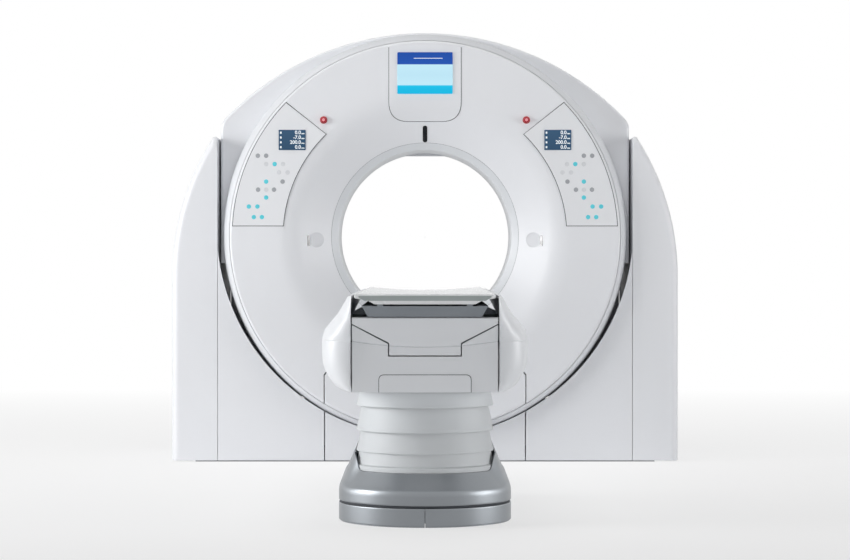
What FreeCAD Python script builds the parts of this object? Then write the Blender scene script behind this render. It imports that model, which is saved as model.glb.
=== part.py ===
import FreeCAD, Part
import math
import os
import Sketcher

from FreeCAD import Placement, Rotation, Vector

# CT scanner: a tilting gantry drum between two side covers, and a patient couch in front of it.
# +Z is up, -Y is the couch side, and the bore's centre stands straight above the origin.

doc = FreeCAD.newDocument("ct_scanner")
sheet = doc.addObject("Spreadsheet::Sheet", "dims")

SIZES = {
    # gantry as a whole
    "iso_height": 1010,
    "bore_radius": 390,
    "liner_wall": 4,
    "liner_front": -332,
    "liner_rear": 128,
    "liner_lip_radius": 420,
    "face_depth": 462,
    "face_radius": 850,
    "rim_radius": 872,
    "rim_depth": 435,
    "drum_radius": 905,
    "drum_edge_depth": 366,
    "skin": 6,
    "front_flare_radius": 600,
    "rear_flare_radius": 640,
    # side covers
    "cover_depth": 400,
    "cover_inner": 930,
    "cover_outer": 1135,
    "cover_arc_height": 834,
    "cover_wall": 12,
    "cover_edge_bevel": 16,
    "cover_floor_gap": 18,
    "tip_radius": 12,
    # opening for the drum in the lower covers
    "hollow_radius": 933,
    "hollow_rise": 33,
    "panel_seam": 450,
    "panel_wall": 10,
    # hood
    "hood_half_width": 920,
    "hood_depth": 300,
    "hood_arc_radius": 1250,
    "hood_top": 919,
    "hood_foot": -120,
    "hood_wall": 8,
    "hood_edge_bevel": 12,
    "hood_seat_radius": 882,
    # stands, tilt bearings and anchors
    "stand_inner": 945,
    "stand_width": 90,
    "stand_foot": 330,
    "stand_top": 130,
    "trunnion_radius": 50,
    "running_fit": 0.06,
    "bearing_half": 75,
    "base_wall": 18,
    "base_half_width": 1030,
    "base_half_depth": 375,
    "anchor_across": 860,
    "anchor_along": 330,
    "anchor_hole": 11,
    # details of the front face
    "plate_proud": 3,
    "plate_reach": 848,
    "stop_across": 451,
    "stop_height": 517,
    "stop_button": 12.5,
    # rotor
    "rotor_inner": 415,
    "rotor_outer": 840,
    "rotor_back": 90,
    "rotor_plate": 30,
    "bearing_bore": 468,
    "bearing_outside": 545,
    "frame_front": 150,
    "frame_wall": 50,
    # couch base
    "base_front_centre": -2957,
    "base_rear_centre": -2350,
    "plinth_radius": 300,
    "plinth_wall": 12,
    "plinth_top": 68,
    "floor_plate_half": 230,
    "floor_plate_reach": 150,
    "floor_plate_wall": 20,
    "couch_anchor_across": 190,
    "couch_anchor_hole": 9,
    "base_shoulder": 115,
    "base_top": 178,
    "base_taper": 38,
    "collar_radius": 246,
    "collar_step": 198,
    "skirt_radius": 238,
    "skirt_wall": 2.5,
    "skirt_flare": 11.31,
    "column_half": 75,
    "inner_column_half": 58,
    # couch top
    "couch_bottom": 460,
    "couch_top": 712,
    "couch_foot": -3328,
    "couch_head": -1080,
    "belly_bend": -1900,
    "head_bottom": 590,
    "foot_panel_half": 244,
    "crease_height": 612,
    "shell_seam": 246,
    "beam_inner": 120,
    "beam_outer": 200,
    "beam_bottom": 606,
    "rail_top": 751,
    "table_half_width": 236,
    "table_flat_half": 168,
    "table_top": 790,
    "table_bottom": 756,
    "table_foot": -3346,
    "table_head": -1000,
}

# each moving band of the skirt, its foot's height and how tall it is
SKIRTS = [("skirt_upper", 400, 98), ("skirt_middle", 314, 140), ("skirt_lower", 242, 118)]
# where the two lift columns stand along the couch
COLUMN_PLACES = {"front": -2850, "rear": -2450}
# where each cross member of the couch frame starts, and its width
CROSS_MEMBERS = [(-3260, 60), (-2930, 160), (-2530, 160), (-1800, 80), (-1150, 60)]
# the side shell along the couch: place, half width of the couch there, and height of its underside
SHELL_STATIONS = [
    (-3306, 336, 460),
    (-2998, 358, 460),
    (-2300, 378, 460),
    (-1900, 376, 462),
    (-1080, 340, 590),
]


def fill_sheet():
    for row, (word, value) in enumerate(SIZES.items(), start=1):
        sheet.set(f"A{row}", word.replace("_", " "))
        sheet.set(f"B{row}", str(value))
        sheet.setAlias(f"B{row}", word)
    doc.recompute()


class Size:
    """A number together with the expression that it comes from."""

    def __init__(self, value, text):
        self.value = value
        self.text = text

    def join(self, sign, other, turned=False):
        other = other if isinstance(other, Size) else Size(other, repr(other))
        first, second = (other, self) if turned else (self, other)
        results = {
            "+": first.value + second.value,
            "-": first.value - second.value,
            "*": first.value * second.value,
        }
        return Size(results[sign], f"({first.text} {sign} {second.text})")

    def __add__(self, other):
        return self.join("+", other)

    def __radd__(self, other):
        return self.join("+", other, turned=True)

    def __sub__(self, other):
        return self.join("-", other)

    def __rsub__(self, other):
        return self.join("-", other, turned=True)

    def __mul__(self, other):
        return self.join("*", other)

    def __rmul__(self, other):
        return self.join("*", other, turned=True)

    def __neg__(self):
        return self.join("*", -1)


def dim(word):
    return Size(SIZES[word], f"dims.{word}")


def number(size):
    return size.value if isinstance(size, Size) else float(size)


def rise_of(radius, across):
    """How far up a circle about the origin is, at a distance to the side."""
    return math.sqrt(number(radius) ** 2 - number(across) ** 2)


def bind(item, prop, size):
    if isinstance(size, Size):
        item.setExpression(prop, size.text)


def new_body(label, up=0):
    body = doc.addObject("PartDesign::Body", label)
    body.Label = label
    body.Placement = Placement(Vector(0, 0, number(up)), Rotation())
    bind(body, "Placement.Base.z", up)
    parts.append(body)
    return body


def new_sketch(body, name, plane, offset=0):
    """A sketch on one of the body's own planes, moved to where that plane's axis has the value offset."""
    role = next(f for f in body.Origin.OriginFeatures if f.Role == plane + "_Plane")
    sketch = body.newObject("Sketcher::SketchObject", f"{body.Label}_{name}")
    sketch.AttachmentSupport = [(role, "")]
    sketch.MapMode = "FlatFace"
    along = -offset if plane == "XZ" else offset
    sketch.AttachmentOffset = Placement(Vector(0, 0, number(along)), Rotation())
    bind(sketch, "AttachmentOffset.Base.z", along)
    return sketch


def pin_point(sketch, edge, end, x, y):
    """Holds one point of a sketch at x and y."""
    for value, kind, axis in ((x, "DistanceX", -2), (y, "DistanceY", -1)):
        if abs(number(value)) < 1e-9:
            sketch.addConstraint(Sketcher.Constraint("PointOnObject", edge, end, axis))
            continue
        at = sketch.addConstraint(Sketcher.Constraint(kind, -1, 1, edge, end, number(value)))
        bind(sketch, f"Constraints[{at}]", value)


def outline(sketch, points):
    """A closed line through the points. A third number on a point makes the run after it an arc of
    that radius, turning left where it is positive and right where it is negative."""
    flat = [Vector(number(p[0]), number(p[1]), 0) for p in points]
    ends = []
    first = sketch.GeometryCount
    for i, point in enumerate(points):
        start, stop = flat[i], flat[(i + 1) % len(flat)]
        if len(point) == 2:
            sketch.addGeometry(Part.LineSegment(start, stop))
        else:
            radius = number(point[2])
            run = stop - start
            left = Vector(-run.y, run.x, 0).normalize()
            rise = abs(radius) - rise_of(radius, run.Length / 2)
            middle = (start + stop) / 2 - left * math.copysign(rise, radius)
            sketch.addGeometry(Part.Arc(start, middle, stop))
        near = sketch.getPoint(first + i, 1).distanceToPoint(start) < 1e-3
        ends.append((1, 2) if near else (2, 1))
    for i, point in enumerate(points):
        following = (i + 1) % len(points)
        sketch.addConstraint(
            Sketcher.Constraint("Coincident", first + i, ends[i][1], first + following, ends[following][0])
        )
    for i, point in enumerate(points):
        pin_point(sketch, first + i, ends[i][0], point[0], point[1])
        if len(point) == 3:
            radius = point[2] if number(point[2]) > 0 else -point[2]
            at = sketch.addConstraint(Sketcher.Constraint("Radius", first + i, number(radius)))
            bind(sketch, f"Constraints[{at}]", radius)


def sided(side, corners):
    """The corners as they are for the right side, or their mirror image for the left."""
    if side > 0:
        return corners
    return [(-corner[0], corner[1]) + tuple(-bend for bend in corner[2:]) for corner in corners]


def circle(sketch, x, y, radius):
    edge = sketch.addGeometry(Part.Circle(Vector(number(x), number(y), 0), Vector(0, 0, 1), number(radius)))
    pin_point(sketch, edge, 3, x, y)
    at = sketch.addConstraint(Sketcher.Constraint("Radius", edge, number(radius)))
    bind(sketch, f"Constraints[{at}]", radius)


def rectangle(sketch, low_x, low_y, high_x, high_y):
    outline(sketch, [(low_x, low_y), (high_x, low_y), (high_x, high_y), (low_x, high_y)])


def stadium(sketch, radius):
    """The couch base's plan: straight sides and a half circle at each end."""
    front, rear = dim("base_front_centre"), dim("base_rear_centre")
    corners = [(radius, rear), (0, rear + radius), (-radius, rear), (-radius, front), (0, front - radius)]
    corners.append((radius, front))
    arcs = [True, True, False, True, True, False]
    outline(sketch, [c + (radius,) if bent else c for c, bent in zip(corners, arcs)])


def grow(body, sketch, length, taper=0):
    """Pads the sketch towards the positive side of its plane's axis."""
    pad = body.newObject("PartDesign::Pad", f"{sketch.Label}_pad")
    pad.Profile = sketch
    pad.Reversed = "XZ" in sketch.AttachmentSupport[0][0].Role
    pad.Length = number(length)
    pad.TaperAngle = -number(taper)
    bind(pad, "Length", length)
    bind(pad, "TaperAngle", -taper)
    doc.recompute()
    return pad


def sink(body, sketch, length, taper=0):
    """Cuts the sketch out towards the positive side of its plane's axis."""
    before = body.Tip.Shape.Volume
    pocket = body.newObject("PartDesign::Pocket", f"{sketch.Label}_pocket")
    pocket.Profile = sketch
    pocket.Reversed = "XZ" not in sketch.AttachmentSupport[0][0].Role
    pocket.Length = number(length)
    pocket.TaperAngle = -number(taper)
    bind(pocket, "Length", length)
    bind(pocket, "TaperAngle", -taper)
    doc.recompute()
    if not pocket.Shape.Volume < before:
        raise RuntimeError(f"{pocket.Label} cuts nothing")
    return pocket


def spin_up(body, sketch):
    """Turns the sketch once round the Y axis."""
    turned = body.newObject("PartDesign::Revolution", f"{sketch.Label}_turned")
    turned.Profile = sketch
    turned.ReferenceAxis = (sketch, ["V_Axis"])
    turned.Angle = 360
    doc.recompute()
    return turned


def bevel_edges(body, wanted, size):
    """Bevels the edges of the body's last feature for which wanted(edge) holds."""
    base = body.Tip
    names = [f"Edge{i}" for i, edge in enumerate(base.Shape.Edges, start=1) if wanted(edge)]
    if not names:
        raise RuntimeError(f"{body.Label} has no such edge")
    bevel = body.newObject("PartDesign::Chamfer", f"{body.Label}_bevel")
    bevel.Base = (base, names)
    bevel.Size = number(size)
    bind(bevel, "Size", size)
    doc.recompute()
    return bevel


def block(body, name, plane, offset, length, low_x, low_y, high_x, high_y):
    """A straight block added to the body."""
    sketch = new_sketch(body, name, plane, offset)
    rectangle(sketch, low_x, low_y, high_x, high_y)
    return grow(body, sketch, length)


def ring(body, name, offset, length, inner, outer):
    """A ring about the bore's axis."""
    sketch = new_sketch(body, name, "XZ", offset)
    circle(sketch, 0, 0, outer)
    circle(sketch, 0, 0, inner)
    return grow(body, sketch, length)


def fan(body, name, offset, length, centre_z, near, far, half_turn):
    """A piece of a ring that hangs below centre_z, half_turn degrees to each side."""
    across, down = math.sin(math.radians(half_turn)), math.cos(math.radians(half_turn))
    sketch = new_sketch(body, name, "XZ", offset)
    outline(
        sketch,
        [
            (-far * across, centre_z - far * down, far),
            (far * across, centre_z - far * down),
            (near * across, centre_z - near * down, -near),
            (-near * across, centre_z - near * down),
        ],
    )
    return grow(body, sketch, length)


parts = []
fill_sheet()
iso = dim("iso_height")
# how far a cutting sketch starts outside the solid that it cuts
over = 1
# half the side of a square that takes in the whole front face
whole = 1000


# ---------------------------------------------------------------- gantry: what stands still


def gantry_base_plate():
    """The plate on the floor that joins the two stands, with four anchor holes between them."""
    body = new_body("gantry_base_plate")
    half, deep = dim("base_half_width"), dim("base_half_depth")
    block(body, "plate", "XY", 0, dim("base_wall"), -half, -deep, half, deep)
    holes = new_sketch(body, "anchor_holes", "XY", 0)
    for side in (-1, 1):
        for end in (-1, 1):
            circle(holes, side * dim("anchor_across"), end * dim("anchor_along"), dim("anchor_hole"))
    sink(body, holes, dim("base_wall"))


def stand_start(side):
    """The lower x of the stand on this side."""
    return dim("stand_inner") if side > 0 else -dim("stand_inner") - dim("stand_width")


def stand(label, side):
    """An upright with a foot flange, a bearing seat and a window that lightens it."""
    body = new_body(label)
    start, width, low = stand_start(side), dim("stand_width"), dim("base_wall")
    foot, top, chamfer = dim("stand_foot"), dim("stand_top"), 50
    shoulder, crown = iso + 20, iso + 105
    web = new_sketch(body, "web", "YZ", start)
    outline(
        web,
        [
            (-foot, low),
            (foot, low),
            (top, shoulder),
            (top - chamfer, crown),
            (chamfer - top, crown),
            (-top, shoulder),
        ],
    )
    grow(body, web, width)
    lip, flange_reach, flange_wall = 2, 30, 22
    flange = new_sketch(body, "flange", "YZ", start - lip)
    rectangle(flange, -foot - flange_reach, low, foot + flange_reach, low + flange_wall)
    grow(body, flange, width + 2 * lip)
    seat, half = new_sketch(body, "seat", "YZ", start), dim("bearing_half")
    rectangle(seat, -half, iso - half, half, iso + half)
    sink(body, seat, width)
    window_low, window_high, wide, narrow = 150, iso - 190, 210, 75
    window = new_sketch(body, "window", "YZ", start)
    outline(
        window,
        [(-wide, window_low), (wide, window_low), (narrow, window_high), (-narrow, window_high)],
    )
    sink(body, window, width)


def tilt_bearing(label, side):
    """The square bearing block in the stand's seat, in which a trunnion turns."""
    body = new_body(label)
    half = dim("bearing_half")
    race = new_sketch(body, "race", "YZ", stand_start(side))
    rectangle(race, -half, iso - half, half, iso + half)
    circle(race, 0, iso, dim("trunnion_radius") + dim("running_fit"))
    grow(body, race, dim("stand_width"))


def tilt_gearmotor():
    """The gearbox that turns the right trunnion, with its motor lying along the stand."""
    body = new_body("tilt_gearmotor")
    start, wall = dim("stand_inner") + dim("stand_width"), 46
    half, narrow, bottom, shoulder, top = 85, 45, iso - 130, iso + 40, iso + 85
    box = new_sketch(body, "gearbox", "YZ", start)
    outline(
        box,
        [(-half, bottom), (half, bottom), (half, shoulder), (narrow, top), (-narrow, top), (-half, shoulder)],
    )
    grow(body, box, wall)
    motor_radius, motor_length = 40, 190
    motor = new_sketch(body, "motor", "XZ", half)
    circle(motor, start + motor_radius + 2, iso - 85, motor_radius)
    grow(body, motor, motor_length)
    bore = new_sketch(body, "bore", "YZ", start)
    circle(bore, 0, iso, dim("trunnion_radius") + dim("running_fit"))
    sink(body, bore, wall)


def tip_of(arc_radius, near, tip):
    """The tip of a side cover: where its small arc leaves the upright line at near, and the point
    at which it runs into the large arc."""
    knee = SIZES["cover_arc_height"]
    across = number(near) + number(tip)
    rise = rise_of(arc_radius - tip, across)
    stretch = number(arc_radius) / number(arc_radius - tip)
    return knee + rise, across * stretch, knee + rise * stretch


def side_cover(label, side):
    """A tall moulded shell: straight outside, then an arc that runs up to a rounded tip."""
    body = new_body(label)
    depth, wall, tip = dim("cover_depth"), dim("cover_wall"), dim("tip_radius")
    inner, outer = dim("cover_inner"), dim("cover_outer")
    low, knee = dim("cover_floor_gap"), dim("cover_arc_height")
    spare = inner - 60
    outside = new_sketch(body, "outside", "XZ", -depth)
    peak = knee + rise_of(outer, spare)
    outline(outside, sided(side, [(spare, low), (outer, low), (outer, knee, outer), (spare, peak)]))
    grow(body, outside, depth * 2)

    def is_long_edge(edge):
        box = edge.BoundBox
        flat = box.YLength < 1e-6 and abs(abs(box.YMin) - number(depth)) < 1e-6
        outward = box.XMax > number(outer) - 1 if side > 0 else box.XMin < 1 - number(outer)
        return flat and outward and box.ZLength > 100

    bevel_edges(body, is_long_edge, dim("cover_edge_bevel"))
    leave, touch_x, touch_z = tip_of(outer, inner, tip)
    beyond, far_side, roof = 1.1, inner - 200, 1700
    clear_x, clear_z = touch_x * beyond, knee + (touch_z - number(knee)) * beyond
    trim = new_sketch(body, "trim", "XZ", -depth - over)
    corners = [(far_side, low - over), (inner, low - over), (inner, leave, -tip), (touch_x, touch_z)]
    corners += [(clear_x, clear_z), (clear_x, roof), (far_side, roof)]
    outline(trim, sided(side, corners))
    sink(body, trim, (depth + over) * 2)

    near, reach, inner_tip = inner + wall, outer - wall, 4
    leave, touch_x, touch_z = tip_of(reach, near, inner_tip)
    inside = new_sketch(body, "inside", "XZ", wall - depth)
    corners = [(near, low - over), (reach, low - over), (reach, knee, reach)]
    corners += [(touch_x, touch_z, inner_tip), (near, leave)]
    outline(inside, sided(side, corners))
    sink(body, inside, (depth - wall) * 2)
    hole = new_sketch(body, "trunnion_hole", "YZ", inner - over if side > 0 else -near - over)
    circle(hole, 0, iso, dim("trunnion_radius") + 12)
    sink(body, hole, wall + 2 * over)


def lower_cover(label, from_x, to_x, front):
    """A flat panel below the drum. Its top edge follows the round opening."""
    body = new_body(label)
    wall, depth = dim("panel_wall"), dim("cover_depth")
    radius, low, foot_reach, foot_wall = dim("hollow_radius"), dim("cover_floor_gap"), 40, 6

    def edge_height(x):
        return iso + dim("hollow_rise") - rise_of(radius, x)

    panel = new_sketch(body, "panel", "XZ", -depth if front else depth - wall)
    outline(
        panel,
        [(from_x, low), (to_x, low), (to_x, edge_height(to_x), -radius), (from_x, edge_height(from_x))],
    )
    grow(body, panel, wall)
    flange = new_sketch(body, "flange", "XZ", wall - depth if front else depth - wall - foot_reach)
    rectangle(flange, from_x, low, to_x, low + foot_wall)
    grow(body, flange, foot_reach)
    return body


def lower_covers():
    edge, seam, gap = dim("cover_inner") - 2, dim("panel_seam"), 1
    lower_cover("front_left_lower_cover", -edge, -seam - gap, True)
    lower_cover("front_centre_lower_cover", -seam, seam, True)
    lower_cover("front_right_lower_cover", seam + gap, edge, True)
    rear = lower_cover("rear_lower_cover", -edge, edge, False)
    near, far, first, step, tall = 560, 800, 60, 26, 10
    vents = new_sketch(rear, "vents", "XZ", dim("cover_depth") - dim("panel_wall"))
    for low_x, high_x in ((-far, -near), (near, far)):
        for row in range(8):
            low = first + step * row
            rectangle(vents, low_x, low, high_x, low + tall)
    sink(rear, vents, dim("panel_wall"))


# ---------------------------------------------------------------- gantry: the drum that tilts


def tilt_frame():
    """The eight-sided cast plate that carries the main bearing, with an arm and a trunnion at each side."""
    body = new_body("tilt_frame", iso)
    front, wall, outer = dim("frame_front"), dim("frame_wall"), dim("drum_radius")
    plate_inner, corner_radius, lug_half, lug_root = 465, 880, 60, 800
    plate = new_sketch(body, "plate", "XZ", front)
    turns = [math.radians(45 * step + 22.5) for step in range(8)]
    outline(plate, [(corner_radius * math.cos(turn), corner_radius * math.sin(turn)) for turn in turns])
    circle(plate, 0, 0, plate_inner)
    grow(body, plate, wall)
    hood_inside = dim("hood_top") - dim("hood_wall")
    block(body, "upper_lug", "XZ", front, wall, -lug_half, lug_root, lug_half, hood_inside - 2)
    block(body, "lower_lug", "XZ", front, wall, -lug_half, 8.2 - outer, lug_half, -lug_root)
    arm_half, arm_front, arm_length, left_reach, right_reach = 120, -90, 290, 130, 176
    for word, side, reach in (("left", -1, left_reach), ("right", 1, right_reach)):
        for name, start, near, length in (
            ("arm", arm_front, outer - 55, arm_length),
            ("root", front, outer - 105, wall),
        ):
            low, high = sorted((side * near, side * outer), key=number)
            block(body, f"{word}_{name}", "XZ", start, length, low, -arm_half, high, arm_half)
        trunnion = new_sketch(body, word + "_trunnion", "YZ", outer if side > 0 else -outer - reach)
        circle(trunnion, 0, 0, dim("trunnion_radius"))
        grow(body, trunnion, reach)


def main_bearing():
    """The outer race of the large bearing, in front of the tilt frame."""
    body = new_body("main_bearing_housing", iso)
    start = dim("rotor_back") + 10
    ring(body, "race", start, dim("frame_front") - start, dim("bearing_bore"), dim("bearing_outside"))


def flare_depth(radius, out=0):
    """How deep the front flare lies at a radius, or a layer that stands out from it."""
    throat, start = dim("bore_radius"), dim("liner_front")
    slope = number(dim("face_depth") + start) / number(dim("front_flare_radius") - throat)
    return start - (radius - throat) * slope - out


def rear_flare_depth(radius):
    """How far back the rear flare lies at a radius."""
    throat, start = dim("bore_radius"), dim("liner_rear")
    slope = number(dim("face_depth") - start) / number(dim("rear_flare_radius") - throat)
    return start + (radius - throat) * slope


def bore_liner():
    """The tube through the drum. Its two ends turn out into the flares of the covers."""
    body = new_body("bore_liner", iso)
    inner, lip, wall = dim("bore_radius"), dim("liner_lip_radius"), dim("liner_wall")
    front, rear, front_lip, rear_lip = dim("liner_front"), dim("liner_rear"), 5, 7
    section = new_sketch(body, "section", "XY")
    outline(
        section,
        [
            (inner, front),
            (lip, flare_depth(lip)),
            (lip, flare_depth(lip) + front_lip),
            (inner + wall, front + 2),
            (inner + wall, rear - 2),
            (lip, rear_flare_depth(lip) - rear_lip),
            (lip, rear_flare_depth(lip)),
            (inner, rear),
        ],
    )
    spin_up(body, section)


def service_outline(inset):
    """The lower segment of the front face, which comes off for service, and the space below it."""
    side, top, low = dim("panel_seam") - inset, -585 - inset, -900
    lean, drop = 27, 33
    upper = [(side, top - drop), (side - lean, top), (lean - side, top), (-side, top - drop)]
    return upper + [(-side, low), (side, low)]


def rim_profile(start_radius):
    """The front face's skin from start_radius out to its bevelled rim."""
    skin, face, bend = dim("skin"), dim("face_depth"), 3
    edge, rim, rim_depth = dim("face_radius"), dim("rim_radius"), dim("rim_depth")
    outer = [(start_radius, -face), (edge, -face), (rim, -rim_depth)]
    inner = [(rim - skin, skin - rim_depth - bend), (edge - bend, skin - face)]
    return outer + inner


def front_cover():
    """The round front cover: a flat face that runs through a flare into the bore."""
    body = new_body("front_cover", iso)
    skin, face, flare = dim("skin"), dim("face_depth"), dim("front_flare_radius")
    lip, lip_wall = dim("liner_lip_radius"), 7
    start = flare_depth(lip)
    section = new_sketch(body, "section", "XY")
    outline(
        section,
        [(lip, start)] + rim_profile(flare) + [(flare + 2, skin - face), (lip, start + lip_wall)],
    )
    spin_up(body, section)
    gap = new_sketch(body, "service_gap", "XZ", -face - over)
    outline(gap, service_outline(0))
    sink(body, gap, face - dim("hood_depth"))


def front_service_panel():
    body = new_body("front_service_panel", iso)
    skin, face, gap = dim("skin"), dim("face_depth"), 1.2
    start = dim("front_flare_radius") - 40
    section = new_sketch(body, "section", "XY")
    outline(section, rim_profile(start) + [(start, skin - face)])
    spin_up(body, section)
    around = new_sketch(body, "around", "XZ", -face - over)
    rectangle(around, -whole, -whole, whole, whole)
    outline(around, service_outline(gap))
    sink(body, around, face - dim("hood_depth"))


def ring_trim():
    """The grey band that slants back from the face's rim, and the drum's front lip behind it."""
    body = new_body("ring_trim", iso)
    skin, outer, back, bend = dim("skin"), dim("drum_radius"), dim("hood_depth"), dim("drum_edge_depth")
    rim, rim_depth = dim("rim_radius") + 2, dim("rim_depth") - 1
    section = new_sketch(body, "section", "XY")
    outline(
        section,
        [
            (rim, -rim_depth),
            (outer, -bend),
            (outer, -back),
            (outer - skin, -back),
            (outer - skin, 2 - bend),
            (rim - 3.5, 7 - rim_depth),
        ],
    )
    spin_up(body, section)


def rear_cover():
    """The round rear cover, with a wider flare than the front and its own lip."""
    body = new_body("rear_cover", iso)
    skin, face, lip = dim("skin"), dim("face_depth"), dim("liner_lip_radius")
    flare, edge, lip_wall = dim("rear_flare_radius"), dim("face_radius"), 9
    outer, back, bend = dim("drum_radius"), dim("hood_depth"), dim("drum_edge_depth")
    section = new_sketch(body, "section", "XY")
    outline(
        section,
        [
            (lip, rear_flare_depth(lip)),
            (lip, rear_flare_depth(lip) - lip_wall),
            (flare + 2, face - skin),
            (edge - 3, face - skin),
            (outer - skin, bend - 2),
            (outer - skin, back),
            (outer, back),
            (outer, bend),
            (edge, face),
            (flare, face),
        ],
    )
    spin_up(body, section)


def hood():
    """The arched top cover, open below, with a round seat for the front and rear covers."""
    body = new_body("hood", iso)
    half, depth, wall = dim("hood_half_width"), dim("hood_depth"), dim("hood_wall")
    foot, radius, top = dim("hood_foot"), dim("hood_arc_radius"), dim("hood_top")

    def arch(sketch, inset, low):
        across, arc = half - inset, radius - inset
        shoulder = top - radius + rise_of(arc, across)
        outline(sketch, [(-across, low), (across, low), (across, shoulder, arc), (-across, shoulder)])

    outside = new_sketch(body, "outside", "XZ", -depth)
    arch(outside, 0, foot)
    grow(body, outside, depth * 2)

    def is_crown_edge(edge):
        box = edge.BoundBox
        return box.YLength < 1e-6 and box.ZMax > number(top) - 1 and box.XLength > number(half)

    bevel_edges(body, is_crown_edge, dim("hood_edge_bevel"))
    inside = new_sketch(body, "inside", "XZ", wall - depth)
    arch(inside, wall, foot - over)
    sink(body, inside, (depth - wall) * 2)
    seat = new_sketch(body, "seat", "XZ", -depth - over)
    circle(seat, 0, 0, dim("hood_seat_radius"))
    sink(body, seat, (depth + over) * 2)
    reach, low = dim("trunnion_radius") + 6, foot - over
    slot = new_sketch(body, "trunnion_slot", "YZ", -half - over)
    outline(slot, [(-reach, low), (reach, low), (reach, 0, reach), (0, reach, reach), (-reach, 0)])
    sink(body, slot, (half + over) * 2)


def lower_drum_cover():
    """The round underside of the drum, from one arm to the other."""
    body = new_body("lower_drum_cover", iso)
    outer, skin, depth, top = dim("drum_radius"), dim("skin"), dim("hood_depth"), -124
    wide, narrow = rise_of(outer, top), rise_of(outer - skin, top)
    half = new_sketch(body, "half_tube", "XZ", -depth)
    outline(half, [(-wide, top, outer), (wide, top), (narrow, top, skin - outer), (-narrow, top)])
    grow(body, half, depth * 2)


def display_surround():
    """The raised plate above the bore that frames the main display and follows the flare below it."""
    body = new_body("display_surround", iso)
    face, proud, flare = dim("face_depth"), dim("plate_proud"), dim("front_flare_radius")
    start, reach, under = 505, dim("plate_reach") - 4, 0.05
    section = new_sketch(body, "section", "XY")
    outline(
        section,
        [
            (start, flare_depth(start, under)),
            (flare, -face),
            (reach, -face),
            (reach, -face - proud),
            (flare, -face - proud),
            (start, flare_depth(start, proud)),
        ],
    )
    spin_up(body, section)
    half, knee, low, lower_half, roof = 160, 593, 513, 118, 900
    around = new_sketch(body, "around", "XZ", -face - proud - over)
    rectangle(around, -whole, -whole, whole, whole)
    corners = [(lower_half, low), (half, knee), (half, roof)]
    outline(around, corners + [(-x, z) for x, z in reversed(corners)])
    sink(body, around, face)


def main_display():
    body = new_body("main_display", iso)
    wall, half, low, high = 5, 123, 633, 818
    back = -dim("face_depth") - dim("plate_proud")
    block(body, "glass", "XZ", back - wall, wall, -half, low, half, high)


def control_panel(label, side):
    """A curved keypad plate beside the bore."""
    body = new_body(label, iso)
    proud, inner, outer = dim("plate_proud"), 633, dim("plate_reach")
    low, lean = 47.5, math.radians(45)
    corners = [
        (rise_of(inner, low), low),
        (rise_of(outer, low), low, outer),
        (outer * math.cos(lean), outer * math.sin(lean)),
        (inner * math.cos(lean), inner * math.sin(lean), -inner),
    ]
    plate = new_sketch(body, "plate", "XZ", -dim("face_depth") - proud)
    outline(plate, sided(side, corners))
    grow(body, plate, proud)


def panel_display(label, side):
    body = new_body(label, iso)
    wall, near, far, low, high = 3, 531, 651, 388, 478
    left, right = sorted((side * near, side * far))
    back = -dim("face_depth") - dim("plate_proud")
    block(body, "glass", "XZ", back - wall, wall, left, low, right, high)


def estop_sockets():
    """The two round seats that hold the emergency buttons."""
    body = new_body("estop_sockets", iso)
    face, tall, floor, outer, inner = dim("face_depth"), 9, 1, 19, dim("stop_button") + 0.5
    seats = new_sketch(body, "seats", "XZ", -face - tall)
    wells = new_sketch(body, "wells", "XZ", -face - tall)
    for side in (-1, 1):
        circle(seats, side * dim("stop_across"), dim("stop_height"), outer)
        circle(wells, side * dim("stop_across"), dim("stop_height"), inner)
    grow(body, seats, tall)
    sink(body, wells, tall - floor)


def estop_button(label, side):
    body = new_body(label, iso)
    front, tall = 21, 15
    cap = new_sketch(body, "cap", "XZ", -dim("face_depth") - front)
    circle(cap, side * dim("stop_across"), dim("stop_height"), dim("stop_button"))
    grow(body, cap, tall)


def laser_windows():
    """The three strips on the flare that the positioning lines shine through."""
    body = new_body("laser_windows", iso)
    face, low, high, under, proud = dim("face_depth"), 410, 565, 0.05, 2
    section = new_sketch(body, "section", "XY")
    outline(
        section,
        [
            (low, flare_depth(low, under)),
            (low, flare_depth(low, proud)),
            (high, flare_depth(high, proud)),
            (high, flare_depth(high, under)),
        ],
    )
    spin_up(body, section)
    around = new_sketch(body, "around", "XZ", -face - over)
    rectangle(around, -whole, -whole, whole, whole)
    for x, z, half_wide, half_tall in ((-520, -20, 5, 22.5), (520, -20, 5, 22.5), (0, 459, 10, 36)):
        rectangle(around, x - half_wide, z - half_tall, x + half_wide, z + half_tall)
    sink(body, around, face)


def bore_indicator():
    """A shallow bar across the top of the bore."""
    body = new_body("bore_indicator", iso)
    reach, flat, length, gap = dim("bore_radius") - 0.01, 379, 56, 4
    half = rise_of(reach, flat)
    bar = new_sketch(body, "bar", "XZ", dim("liner_rear") - gap - length)
    outline(bar, [(-half, flat), (half, flat, reach)])
    grow(body, bar, length)


# ---------------------------------------------------------------- gantry: the rotor inside the drum


def rotor_drum():
    """The turning plate, and the inner race of the main bearing behind it."""
    body = new_body("rotor_drum", iso)
    inner, back, plate, race_length = dim("rotor_inner"), dim("rotor_back"), dim("rotor_plate"), 55
    ring(body, "plate", back - plate, plate, inner, dim("rotor_outer"))
    ring(body, "race", back, race_length, inner, dim("bearing_bore") - 1)


def rotor_face():
    """Where the rotor plate's front is, which its parts are fixed to."""
    return dim("rotor_back") - dim("rotor_plate")


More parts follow.
